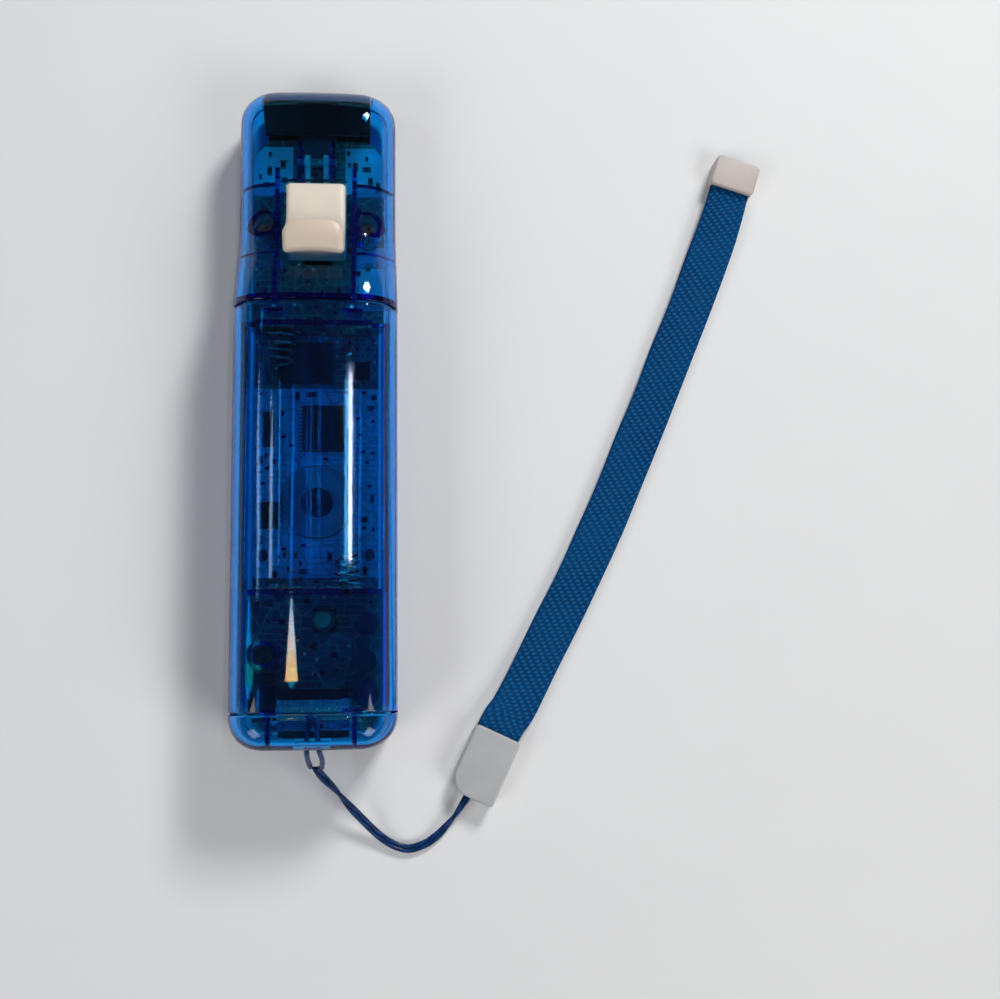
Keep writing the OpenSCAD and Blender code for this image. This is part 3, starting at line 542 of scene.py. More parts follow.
# Black window, with painted blue light where it lies under the clear skin of the nose.
dark_window = moulded_material("dark_window", (0.006, 0.006, 0.007), 0.4, 0.1, 0.004, painted_skin_light,
                               Specular_IOR_Level=0.2)
contact_steel = metal_material("contact_steel", (0.2, 0.2, 0.21), 0.3, (1, 0.1, 1))
webbing_blue = webbing_material()
cord_blue = cord_material()


# Wrist strap: the routes are those of the CAD solids

LOOP_ROUTE = [
    (-0.9, -78.3, 11.6), (-1.3, -76.4, 14.6), (-1.3, -74.4, 17.4), (-1.2, -71.8, 17.7), (-1, -69, 17.4),
    (-0.6, -67.2, 18.4), (0.1, -67.1, 20.1), (0.8, -68.8, 21), (1.2, -71.6, 20.5), (1.4, -74.2, 19.2),
    (1.9, -76.4, 16), (1.7, -78.3, 12.8)]
STRING_ROUTE = [
    (0.3, -78.6, 11), (1.7, -80.8, 9), (4.5, -83.9, 7), (7.6, -87.8, 5), (11, -91.6, 3.1), (14.1, -94.7, 1.8),
    (17.4, -96.9, 1.2), (20.6, -97.7, 1.1), (24, -96.8, 1.1), (26.7, -95.1, 1.2), (28.7, -93.1, 1.4),
    (31, -90.4, 1.8), (32.8, -87.7, 2.3), (34.6, -85, 2.5)]
STRAP_ROUTE = [
    (40.5, -72.8, 2.5), (42.3, -69.6, 2.4), (44.9, -66, 2), (50.2, -55.8, 1.4), (55.6, -45.6, 1.3),
    (60.8, -35.2, 1.3), (65.8, -24.8, 1.3), (70.4, -14.2, 1.3), (75, -3.5, 1.3), (79.5, 7.3, 1.3),
    (84, 18.2, 1.3), (88.5, 29.2, 1.4), (92.8, 40.3, 1.7), (96.7, 51.5, 2.1), (99.9, 62.4, 2.3)]
STRAP_HALF = 5
ROW_PITCH = 0.94
FLOAT_LENGTH = 1.5
WEAVE_DEPTH = 0.16
SELVEDGE = 0.09


def spline(points, steps):
    """Smooth route through listed points."""
    route = [Vector(p) for p in points]
    last = len(route) - 1
    smooth = []
    for i in range(last):
        a, b, c, d = route[max(i - 1, 0)], route[i], route[i + 1], route[min(i + 2, last)]
        for k in range(steps):
            t = k / steps
            smooth.append(0.5 * (2 * b + (c - a) * t + (2 * a - 5 * b + 4 * c - d) * t ** 2
                                 + (3 * b - a - 3 * c + d) * t ** 3))
    return smooth + [route[last]]


def evenly(path, step):
    """Points along a path at an even spacing."""
    lengths = list(accumulate(((b - a).length for a, b in zip(path, path[1:])), initial=0.0))
    count = max(2, round(lengths[-1] / step))
    spaced = []
    for n in range(count + 1):
        at = lengths[-1] * n / count
        k = min(len(path) - 2, max(0, bisect_left(lengths, at) - 1))
        spaced.append(path[k].lerp(path[k + 1], (at - lengths[k]) / (lengths[k + 1] - lengths[k])))
    return spaced


def frames(path, reference):
    """Direction, side and lift at each point of a path."""
    result = []
    for k in range(len(path)):
        along = (path[min(k + 1, len(path) - 1)] - path[max(k - 1, 0)]).normalized()
        side = Vector(reference).cross(along).normalized()
        result.append((along, side, along.cross(side)))
    return result


def set_attribute(piece, name, values):
    """One value for each point of a piece, which its material reads."""
    attribute = piece.data.attributes.new(name, "FLOAT", "POINT")
    attribute.data.foreach_set("value", values)


def strand(path, reference, radius, sides, spread=0, offset=0, twist=None):
    """Rings of one strand that winds about a path, and the pale or dark of each point."""
    rings, tones = [], []
    total = len(path) - 1
    for k, (point, (along, side, lift)) in enumerate(zip(path, frames(path, reference))):
        turn = offset + (twist(k / total) if twist else 0)
        centre = point + spread * (cos(turn) * side + sin(turn) * lift)
        ring = []
        for j in range(sides):
            a = 2 * pi * j / sides
            ring.append(centre + radius * (cos(a) * side + sin(a) * lift))
            tones.append(0.5 + 0.5 * sin(a * 2 + 26 * pi * k / total))
        rings.append(ring)
    return rings, tones


def cord_piece(name, strands):
    """One mesh from several strands of a cord, with their tones."""
    pieces, tones = [], []
    for rings, tone in strands:
        pieces.append(loft(name, rings, 60))
        tones += tone
    whole = merged(pieces, name)
    set_attribute(whole, "twist", tones)
    return whole


def string_twist(f):
    """The two strands lie side by side, and turn over near the knot and near the clasp."""
    return 1.2 * pi * max(0, 1 - f / 0.3) + 0.9 * pi * max(0, (f - 0.72) / 0.28)


string_path = evenly(spline(STRING_ROUTE, 8), 0.5)
string_piece = cord_piece("thin_cord", [
    strand(string_path, (0, 0, 1), 0.5, 10, 0.47, offset, string_twist) for offset in (0, pi)])
dress(string_piece, "wand_body", cord_blue, "cord_blue", "strap_string")

loop_path = evenly(spline(LOOP_ROUTE, 8), 0.4)
loop_piece = cord_piece("cord_loop", [strand(loop_path, (1, 0, 0), 0.6, 12)])
dress(loop_piece, "wand_body", cord_blue, "cord_blue", "strap_loop")


def yarn_height(across, along):
    """Height of the weave, 0 to 1: staggered floats in rows a little off square."""
    row = (along + 0.5 * across) / ROW_PITCH
    column = across / FLOAT_LENGTH + 0.5 * (floor(row) % 2)
    float_shape = cos(pi * (column - round(column))) ** 2
    return float_shape * sin(pi * (row - floor(row)))


def gather(f):
    """How much of the webbing's width is left along its length: it bunches up in the slider."""
    squeezed = max(0, (f - 0.86) / 0.14)
    return 1 - 0.14 * min(1, squeezed) ** 1.5


def webbing_layer(name, path, low, high, step_across, wave):
    """One layer of webbing between two heights about its path, woven on top, and the painted shade of its
    points.
    """
    columns = round(2 * STRAP_HALF / step_across)
    shares = [2 * c / columns - 1 for c in range(columns + 1)]
    cross = [(a, min(1, (1 - abs(a)) / SELVEDGE)) for a in shares]
    points, tones = [], []
    total = len(path) - 1
    run = 0.0
    for k, (point, (along, side, lift)) in enumerate(zip(path, frames(path, (0, 0, 1)))):
        run += (point - path[k - 1]).length if k else 0
        f = k / total
        half = STRAP_HALF * gather(f)
        folds = 0.32 * min(1, max(0, (f - 0.88) / 0.08))
        edge = wave * 0.12 * sin(run / 3.7)
        for a, selvedge in cross:
            across = a * STRAP_HALF
            weave = yarn_height(across, run) * selvedge
            bunched = folds * (cos(across * 3.3) - 1) * 0.5
            rise = high - WEAVE_DEPTH * (1 - weave) - 0.3 * (1 - selvedge) ** 2 + bunched
            points.append(point + side * (across * half / STRAP_HALF + edge) + lift * rise)
            # Painted shade: the tone follows the yarn height, so the gaps between yarns are darker; at the
            # selvedges it stays middling.
            tones.append(weave if selvedge >= 1 else 0.35 + 0.3 * weave)
        for a, selvedge in reversed(cross):
            points.append(point + side * (a * half + edge) + lift * (low + 0.12 * (1 - selvedge) ** 2))
            # Painted shade: the lower layer takes one middling dark tone.
            tones.append(0.35)
    size = 2 * (columns + 1)
    return make(name, points, loft_faces(total + 1, size), 70), tones


strap_line = spline(STRAP_ROUTE, 12)
upper_layer, upper_shade = webbing_layer("upper", evenly(strap_line, 0.18), 0.08, 1.2, 0.225, 0)
lower_layer, lower_shade = webbing_layer("lower", evenly(strap_line, 0.45), -1.2, -0.05, 0.5, 1)
webbing = merged([upper_layer, lower_layer], "webbing")
# Painted shade of both layers, which the webbing's material reads.
set_attribute(webbing, "weave", upper_shade + lower_shade)
dress(webbing, "wand_body", webbing_blue, "webbing_blue", "wrist_strap")


def turned(at, angle):
    """Placing for a piece drawn about its own middle, turned on the floor."""
    c, s = cos(radians(angle)), sin(radians(angle))
    return lambda x, y, z: (at[0] + c * x - s * y, at[1] + s * x + c * y, z)


def clasp_piece():
    """Crimp of the thin cord on the webbing: flat block with one large round corner."""
    place = turned((34.2, -86.4), -25.3)
    half, length, thick = 5.45, 15.7, 5.02
    outline = arc((4.6 - half, 4.6), 4.6, 180, 270, 14) + arc((half - 0.8, 0.8), 0.8, 270, 360, 6)
    outline += arc((half - 0.9, length - 0.9), 0.9, 0, 90, 6)
    outline += arc((0.9 - half, length - 0.9), 0.9, 90, 180, 6)
    body = slab("strap_crimp", outline, 0.02, thick, place, 0.5, 5)
    wide = box_outline(-5.15, 5.15, length - 5.5, length + 1, 0.6)
    mouth = slab("mouth", wide, 1, thick - 1, place, 0.2, 2)
    entry = box_outline(-1.45, 1.45, 1.1, 3.9, 1.2, 6)
    hole = slab("hole", entry, -4.5, 1, lambda x, z, y: place(x, -y, z), 0.1, 1)
    return combine(body, [mouth, hole], "DIFFERENCE")


def slider_piece():
    """Lock that slides on the doubled webbing."""
    place = turned((99.2, 59.6), -17.5)
    half, reach, thick = 5.4, 3.8, 4.62
    outline = box_outline(-half, half, -reach, reach, 1.1, 6)
    body = slab("strap_lock", outline, 0.02, thick, place, 0.55, 5)
    opening = box_outline(-4.8, 4.8, 0.7, 3.7, 0.5)
    slot = slab("slot", opening, -reach - 1, reach + 1, lambda x, z, y: place(x, y, z), 0.1, 1)
    return combine(body, [slot], "DIFFERENCE")


clasp = dress(clasp_piece(), "wand_body", clasp_white, "clasp_white", "strap_clasp")
slider = dress(slider_piece(), "strap_slider", slider_white, "clasp_white", "strap_slider")

for piece, path, wide, others in (
        (string_piece, string_path, 0.002, [loop_piece, clasp]),
        (webbing, evenly(strap_line, 2.5), 0.010, [slider])):
    long = sum((b - a).length for a, b in zip(path, path[1:]))
    [p * MM for p in path]
    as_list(others)


# Mouldings of the body: one grid of points for the outside and one for the inside

RIM_R = 0.42
PART_INDEX = 10
LEDGE_INDEX = 11
SHOULDER_Z = BACK_Z - CROWN + sqrt((CROWN - BACK_R) ** 2 - (HALF - BACK_R) ** 2)
LEDGE_SHARE = (LEDGE - PART) / (SHOULDER_Z - PART)


def ramp_share(y):
    """How far along the ramp a place is: 0 on the flat back and 1 on the nose."""
    t = min(1, max(0, (y - SEAM) / (RAMP - SEAM)))
    return t * t * (3 - 2 * t)


def back_height(y):
    """Height of the back along its middle."""
    return BACK_Z + (NOSE_Z - BACK_Z) * ramp_share(y)


def half_section(half, top, bottom, back, face, crown):
    """Right half of a section, from the middle of the face round to the middle of the back."""
    z0 = top - crown
    xc = half - back
    zc = z0 + sqrt((crown - back) ** 2 - xc ** 2)
    lean = degrees(atan2(zc - z0, xc))
    flat = [((half - face) * k / 3, bottom) for k in range(3)]
    side = [(half, PART), (half, PART + (zc - PART) * LEDGE_SHARE)]
    return (flat + arc((half - face, bottom + face), face, -90, 0, 6) + side
            + arc((xc, zc), back, 0, lean, 14) + arc((0, z0), crown, lean, 90, 10)[1:])


def round_share(depth, radius):
    """Share of its radius by which a round end is drawn in at a depth."""
    return 1 - sqrt(1 - max(0, 1 - depth / radius) ** 2)


def body_rings(drawn):
    """Rings of the whole body drawn in by an amount, from the rear end to the front end."""
    plan, face = PLAN_R - drawn, max(FACE_R - drawn, 0.6)
    reach = FRONT - drawn
    ends = [plan * (1 - cos(radians(9 * k))) for k in range(11)]
    middle = [TAIL] + [TAIL + (SEAM - TAIL) * k / 12 for k in range(1, 12)] + [SEAM]
    middle += [SEAM + (RAMP - SEAM) * k / 14 for k in range(1, 15)]
    middle += [RAMP + 6, RAMP + 12, RAMP + 18, FRONT - 9.6, FRONT - 8.2]
    rings = []
    for y in [d - reach for d in ends] + middle + [reach - d for d in reversed(ends)]:
        depth = reach - abs(y)
        end = (NOSE_R if y > 0 else END_R) - drawn
        shrink = round_share(depth, plan)
        drop = end * round_share(depth, end)
        lift = face * round_share(depth, face)
        back = max(0.6, BACK_R - drawn + (2 - BACK_R) * shrink)
        half = HALF - drawn - plan * shrink - NOSE_DRAWN * ramp_share(y)
        right = half_section(half, back_height(y) - drawn - drop, FACE_Z + drawn + lift,
                             back, face - (face - 0.5) * shrink, CROWN - drawn)
        ring = right + [(-x, z) for x, z in reversed(right[1:-1])]
        rings.append([(x, y, z) for x, z in ring])
    return rings


outer_rings = body_rings(0)
inner_rings = body_rings(WALL)
RING = len(outer_rings[0])
ROWS = len(outer_rings)
LAST_PART = RING - PART_INDEX
LAST_LEDGE = RING - LEDGE_INDEX


def under_parting(row, column):
    """Whether a quad belongs to the lower moulding."""
    return column < PART_INDEX or column >= LAST_PART


def above_parting(row, column):
    """Whether a quad belongs to the upper moulding, which leaves the cover's place open."""
    y = (outer_rings[row][0][1] + outer_rings[row + 1][0][1]) / 2
    covered = TAIL < y < SEAM and LEDGE_INDEX <= column < LAST_LEDGE
    return PART_INDEX <= column < LAST_PART and not covered


def shell_piece(name, keep, cap):
    """Moulding from the kept quads of both grids, joined along its rounded rims."""
    quads = [(row, column) for row in range(ROWS - 1) for column in range(RING) if keep(row, column)]
    corners = [
        [(row, column), (row, (column + 1) % RING), (row + 1, (column + 1) % RING), (row + 1, column)]
        for row, column in quads]
    corners += [[(row, column % RING) for column in cap] for row in (0, ROWS - 1)]
    count = {}
    for face in corners:
        for a, b in zip(face, face[1:] + face[:1]):
            count[frozenset((a, b))] = count.get(frozenset((a, b)), 0) + 1
    rims = [tuple(edge) for edge, uses in count.items() if uses == 1]
    used = sorted({corner for face in corners for corner in face})
    index = {corner: k for k, corner in enumerate(used)}
    size = len(used)
    points = [outer_rings[r][c] for r, c in used] + [inner_rings[r][c] for r, c in used]
    faces = [tuple(index[c] for c in face) for face in corners]
    faces += [tuple(index[c] + size for c in reversed(face)) for face in corners]
    faces += [(index[a], index[b], index[b] + size, index[a] + size) for a, b in rims]
    piece = make(name, points, faces)
    work = bmesh.new()
    work.from_mesh(piece.data)
    work.verts.ensure_lookup_table()
    wanted = {frozenset((index[a] + k, index[b] + k)) for a, b in rims for k in (0, size)}
    edges = [e for e in work.edges if frozenset(v.index for v in e.verts) in wanted]
    bmesh.ops.bevel(work, geom=edges, offset=RIM_R * MM, segments=4, profile=0.5, affect="EDGES",
                    clamp_overlap=False)
    work.to_mesh(piece.data)
    work.free()
    shade(piece)
    return piece


def whole_body(drawn):
    """The body's outside drawn in by an amount, as one solid."""
    return loft("drawn_body", body_rings(drawn))


def bay_outline(radius, half, top):
    """Section of the battery bay: two troughs and a low round ridge."""
    ridge = 3
    q = acos((CELL_X - ridge) / radius)
    left = arc((-CELL_X, CELL_Z), radius, 180, 360 - degrees(q), 24)
    right = arc((CELL_X, CELL_Z), radius, 180 + degrees(q), 360, 24)
    rise = ridge / tan(q) / 2
    round_top = [(ridge * k / 5, left[-1][1] + rise * (1 - (k / 5) ** 2)) for k in range(-4, 5)]
    return [(-half, top)] + left + round_top + right + [(half, top)]


def y_prism(name, outline, y0, y1, edge=0.1):
    """Outline in X and Z run along Y."""
    return slab(name, outline, -y1, -y0, along_y, edge, 1)


CELL_X, CELL_R = 7.35, 7.4
CELL_Z = 16.8
BAY_T = 1.2
BAY_HALF = CELL_X + CELL_R
BAY_EDGE = BAY_HALF + BAY_T
INNER = HALF - WALL
SCREWS = [(11.5, 41), (-11.5, 41), (-11, -54)]
BOSS_R, TOWER_R = 2.6, 3.2
BOARD_SCREWS = [(12.5, -32), (-12.5, -32)]
BOARD_RESTS = [(s * x, y) for x, y in ((14.2, 54), (14.2, -10), (13, -64)) for s in (1, -1)]
ROUND_KEYS = [(0, 25, 6.3), (11, 61, 3.1), (10.5, 3, 3), (0, 3, 3), (-10.5, 3, 3)]
ROUND_KEYS += [(0, -34, 3.9), (0, -45, 3.9)]
SPEAKER_HOLES = [(2.2 * i, -20 + 2.6 * j) for i in range(-2, 3) for j in (-1, 0, 1)]
LIGHT_XS = (-9, -3, 3, 9)
PIN_Y, PIN_Z = 56, 15.6
BAR_R, BAR_Y, BAR_Z = 1.1, -69, 19.2
RIB_X = 8.5
CROSS_RIBS = (50, 33.5)
SYNC_AT = (2, -46.6)
WINDOW_SKIN = 0.45
OVER = 40
CRISP = 0.02


def front_shell_piece():
    """Lower moulding: the face with its openings, the screw bosses and the board posts."""
    cap = list(range(PART_INDEX, -1, -1)) + list(range(RING - 1, LAST_PART - 1, -1))
    shell = shell_piece("face_moulding", under_parting, cap)
    inside = FACE_Z + WALL
    foot = inside - 0.4
    bosses = [post(x, y, BOSS_R, foot, PART) for x, y in SCREWS]
    bosses += [post(x, y, 1.8, foot, BOARD_TOP - 1) for x, y in BOARD_SCREWS]
    bosses += [post(x, y, 0.9, foot, BOARD_TOP - 1) for x, y in BOARD_RESTS]
    combine(shell, bosses, "UNION")
    low, high = FACE_Z - 1, inside + 1
    holes = [post(x, y, 1.05, high, PART + 1, CRISP) for x, y in SCREWS]
    holes += [post(x, y, 0.65, inside + 0.6, BOARD_TOP, CRISP) for x, y in BOARD_SCREWS]
    holes += [post(x, y, r, low, high, CRISP) for x, y, r in ROUND_KEYS]
    holes += [post(x, y, 0.6, low, high, CRISP) for x, y in SPEAKER_HOLES]
    holes += [block((x - 1.5, -60.8, low), (x + 1.5, -59.2, high), 0.1) for x in LIGHT_XS]
    holes.append(block((-9.7, 43.3, low), (9.7, 50.7, high), 0.4))
    holes.append(block((-3.7, 37.3, low - 0.1), (3.7, 56.7, high + 0.1), 0.4))
    return combine(shell, holes + end_openings(), "DIFFERENCE")


def end_openings():
    """Openings for the front window and the expansion socket."""
    window = block((-12, FRONT - WALL - 0.5, 4.8), (12, FRONT + 1, 14.2), 0.3)
    socket = block((-6.8, -FRONT - 1, 7.75), (6.8, -FRONT + WALL + 0.5, 15.45), 0.3)
    return [window, socket]


def rib(x, half, y0, y1, low, edge=0.15):
    """Upright rib or tab, high enough to be trimmed by the body."""
    return block((x - half, y0, low), (x + half, y1, OVER), edge)


def side_block(s, x0, x1, low, high, edge=0.15):
    """Block on one side of the wand, between two distances from its middle."""
    xs = sorted((s * x0, s * x1))
    return block((xs[0], *low), (xs[1], *high), edge)


def shell_ribs():
    """Ribs of the upper moulding: cross wall, trigger, tail and cross ribs, and the front screw towers."""
    ribs = [block((-20, SEAM + 0.5, PART + 0.3), (20, SEAM + 1.7, OVER))]
    for s in (-1, 1):
        ribs.append(rib(s * RIB_X, 0.5, SEAM + 1, PIN_Y - 2, PART + 2))
        ribs.append(rib(s * 3.6, 0.6, 50.7, PIN_Y + 4, PIN_Z - 2.2))
        ribs.append(rib(s * 9, 0.5, -90, -67.2, 16.55))
        ribs += [side_block(s, 8.4, 20, (y - 0.4, PART + 2.1), (y + 0.4, OVER + 1)) for y in CROSS_RIBS]
    ribs += [post(x, y, TOWER_R, PART + 0.1, OVER) for x, y in SCREWS[:2]]
    whole = combine(ribs[0], ribs[1:], "UNION")
    return combine(whole, [whole_body(WALL * 0.5)], "INTERSECT")


def bay_piece():
    """Battery bay with its end walls, ledges, deck, strap bar and rear screw tower."""
    outline = bay_outline(CELL_R + BAY_T, BAY_EDGE, BAY_TOP)
    bay = y_prism("bay", outline, BAY_REAR - BAY_T, BAY_FRONT + BAY_T, 0.2)
    parts = [block((-12.4, y + 0.04, CELL_Z), (12.4, y + BAY_T - 0.06, CELL_Z + 5.2))
             for y in (BAY_FRONT, BAY_REAR - BAY_T)]
    for s in (-1, 1):
        parts.append(side_block(s, BAY_HALF + 0.1, INNER + 0.6, (DECK_REAR, LEDGE - 1.5),
                                (BAY_FRONT + BAY_T - 0.09, LEDGE - 0.5), 0.05))
        parts.append(side_block(s, BAY_HALF, BAY_EDGE - 0.04, (DECK_REAR + 0.03, LEDGE - 1.17),
                                (BAY_REAR - 0.6, BAY_TOP - 0.03), 0.05))
    half = BAY_EDGE - 0.07
    deck = [(x, BAY_TOP - BAY_T - dip) for x, dip in ((-half, 0), (0, DECK_DIP), (half, 0))]
    deck += [(x, BAY_TOP - 0.01 - dip) for x, dip in ((half, 0), (0, DECK_DIP), (-half, 0))]
    parts.append(y_prism("deck", deck, DECK_REAR + 0.06, BAY_REAR - 0.55, 0.1))
    parts.append(rod(BAR_R, -9, 9, BAR_Y, BAR_Z))
    parts.append(post(*SCREWS[2], TOWER_R, PART + 0.1, BAY_TOP))
    return combine(bay, parts, "UNION")


def back_shell_piece():
    """Upper moulding: the nose with the trigger well, the ribs, the bay and their openings."""
    shell = shell_piece("back_moulding", above_parting, list(range(PART_INDEX, LAST_PART + 1)))
    ribs = shell_ribs()
    bay = bay_piece()
    combine(shell, [ribs], "UNION")
    combine(shell, [bay], "UNION")
    cells = bay_outline(CELL_R, BAY_HALF, OVER)
    cuts = [y_prism("cells", cells, BAY_REAR, BAY_FRONT, 0.05)]
    cuts.append(block((-7, 29.9, PIN_Z + 1), (7, 50.8, OVER), 0.6))
    cuts.append(rod(1.02, -5.2, 5.2, PIN_Y, PIN_Z))
    for x, y in SCREWS:
        cuts.append(post(x, y, 1.25, PART - 1, 12, CRISP))
        cuts.append(post(x, y, 2.3, 11, OVER, CRISP))
    under_deck = BAY_TOP - BAY_T
    cuts.append(post(*SYNC_AT, 2, under_deck - 1, BAY_TOP + 1, CRISP))
    cuts.append(post(*SYNC_AT, 2.9, under_deck - 1.2, under_deck + 0.02, CRISP))
    cuts.append(block((-4, -FRONT - 1, 17.2), (4, -FRONT + WALL + 0.6, 21), 0.4))
    pocket = block((-12.1, 68.2, 12), (12.1, 76, 18.9), 0.2)
    cuts.append(combine(pocket, [whole_body(WINDOW_SKIN)], "INTERSECT"))
    return combine(shell, cuts + end_openings(), "DIFFERENCE")


def cover_run(drawn):
    """Right half of the cover's section above its ledge, drawn in by an amount."""
    right = half_section(HALF - drawn, BACK_Z - drawn, FACE_Z + drawn, BACK_R - drawn, 1, CROWN - drawn)
    return right[LEDGE_INDEX + 1:]


def cover_ring(y, thin):
    """Closed section of the battery cover at a place along it, thinned towards its rims."""
    radius = min(0.35, 0.45 * (WALL - 2 * thin))
    rim = LEDGE + GAP + thin + radius
    low_out = arc((HALF - thin - radius, rim), radius, -90, 0, 4)
    low_in = arc((HALF - WALL + thin + radius, rim), radius, 180, 270, 4)
    right = list(reversed(cover_run(WALL - thin))) + low_in + low_out + cover_run(thin)
    left = [(-x, z) for x, z in reversed(right)]
    return [(x, y, z) for x, z in right[:-1] + left[:-1]]


def battery_cover_piece():
    """Lift-off back: a crowned moulding with rounded rims and four snap tabs."""
    rim = 0.55
    angles = [radians(22.5 * k) for k in range(5)]
    rounding = [(rim * cos(a), rim * (1 - sin(a))) for a in angles]
    ys = [(TAIL + GAP + rim - out, thin) for out, thin in rounding]
    ys += [(TAIL + (SEAM - TAIL) * k / 12, 0) for k in range(1, 12)]
    ys += [(SEAM - GAP - rim + out, thin) for out, thin in reversed(rounding)]
    cover = loft("back_cover", [cover_ring(y, thin) for y, thin in ys])
    tabs = []
    for s in (-1, 1):
        tabs.append(rib(s * RIB_X, 2, SEAM - 2.8, SEAM - 1.6, BAY_TOP + 0.4, 0.25))
        tabs.append(rib(s * RIB_X, 2, TAIL + 0.5, TAIL + 1.5, BAY_TOP + 0.4, 0.25))
    tabs = combine(tabs[0], tabs[1:], "UNION")
    combine(tabs, [whole_body(WALL * 0.5)], "INTERSECT")
    return combine(cover, [tabs], "UNION")


dress(settle_normals(front_shell_piece()), "wand_body", clear_blue, "clear_blue", "front_shell")
dress(settle_normals(back_shell_piece()), "wand_body", clear_blue, "clear_blue", "back_shell")
dress(battery_cover_piece(), "battery_cover", clear_blue, "clear_blue", "battery_cover")


# Trigger

LIP_R = 0.5
PLATE_R = 0.9


def trigger_profile(rear, front, base, plate, top, lip, toe):
    """Side of the trigger: leaning rear face, lip, cove, plate, front and base."""
    heel = rear + 2.9
    profile = [(heel, base), (heel, base + 3), (heel, plate - 0.5)]
    profile += [(heel - 2.75 * k / 6, plate - 0.5 + (top - 2 - plate) * k / 6) for k in range(1, 6)]
    profile += arc((rear + 1.3, top - 2.1), 1.15, 195, 102, 8)
    profile += [(rear + y, top - z) for y, z in ((2.2, 0.55), (3.4, 0.18), (4.5, 0), (5.6, 0.15))]
    profile += arc(lip, LIP_R, 75, -5, 8)
    cove = front - 6.5
    profile += [(cove + 5.3 * cos(radians(a)), plate + 8.3 + 7.7 * sin(radians(a)))
                for a in range(186, 271, 6)]
    profile += [(cove + 5.4 * k / 5, plate + 0.6 - 0.55 * k / 5) for k in range(1, 5)]
    profile += arc(toe, PLATE_R, 88, 0, 7)
    profile += [(front, toe[1] + (base - toe[1]) * k / 4) for k in range(1, 5)]
    profile += [(front + (heel - front) * k / 8, base) for k in range(1, 8)]
    return list(reversed(profile))


def trigger_piece():
    """Two-step trigger: a flat plate, a cove and a high lip, on two arms."""
    low, high = span("trigger")
    half = (high.x - low.x) / 2
    rear, front, base, plate = low.y, 50.2, PIN_Z - 2.1, NOSE_Z - 0.2
    lip = (rear + 6.45, high.z - 0.75)
    toe = (front - PLATE_R, plate - PLATE_R)
    profile = trigger_profile(rear, front, base, plate, high.z, lip, toe)
    tight = [(lip, LIP_R), (toe, PLATE_R)]
    edge = 1.1
    xs = [-half + edge - edge * cos(radians(9 * k)) for k in range(10)]
    xs += [(-half + edge) * (1 - k / 8) for k in range(1, 8)]
    xs += [0] + [-x for x in reversed(xs)]
    rings = []
    for x in xs:
        over = max(0, abs(x) - half + edge)
        drawn = edge - sqrt(max(0, edge ** 2 - over ** 2))
        ring = []
        for y, z in inset_outline(profile, drawn, tight):
            s = x / half
            height = min(1, max(0, (z - plate - 0.8) / 6))
            fore = min(1, max(0, (y - rear - 1.5) / 4.5))
            bow = height * fore * (0.2 - 2.3 * abs(s) ** 6)
            hollow = 0.5 * (1 - s * s) * (1 - fore) * height
            sunk = z - 0.45 * height * s * s
            lean = 0.03 * (sunk - base) / (high.z - base)
            ring.append((x * (1 - lean), y + bow + hollow, sunk))
        rings.append(ring)
    body = loft("trigger_key", rings, 50)
    arms = []
    for x0, x1 in ((-2.6, -1.5), (1.5, 2.6)):
        arms.append(block((x0, front - 2, PIN_Z - 1.6), (x1, PIN_Y, PIN_Z + 1.2), 0.2))
        arms.append(rod(1.8, x0, x1, PIN_Y, PIN_Z))
    combine(body, arms, "UNION")
    return combine(body, [rod(1.06, -4, 4, PIN_Y, PIN_Z)], "DIFFERENCE")


dress(trigger_piece(), "trigger", shaded_trigger, "warm_white", "trigger")


# Front window

def window_piece():
    """Dark window just under the round front end: a hollow block that slopes down to the rear."""
    half, roof = 11.8, 12.9
    outline = [(63.4, 5), (76, 5), (76, 18.5), (69.4, 18.5), (66, 15.8), (63.4, 14.2)]
    body = slab("front_window", outline, -half, half, along_x, 0.25, 2)
    combine(body, [whole_body(WINDOW_SKIN - 0.1)], "INTERSECT")
    hollow = block((1 - half, 62, 6), (half - 1, 71, roof), 0.3)
    board_room = block((-13, 61, 4), (13, 64.9, roof - 0.1), 0.1)
    return combine(body, [hollow, board_room], "DIFFERENCE")


dress(window_piece(), "wand_body", dark_window, "dark_window", "ir_window")


# Small parts on the board

BOARD_NODES = """main_chip radio_chip memory_chip motion_sensor crystal capacitors sync_switch
    expansion_connector rumble_boot trigger_switch speaker_frame ir_camera"""
SMALL_PARTS = 150
MOST_TRIES = 4000


def around(x, y, half_x, half_y):
    """Bounds of a place on the board."""
    return (x - half_x, x + half_x, y - half_y, y + half_y)


def chip(x, y, half_x, half_y, rise, edge):
    return block((x - half_x, y - half_y, BOARD_TOP), (x + half_x, y + half_y, BOARD_TOP + rise), edge)


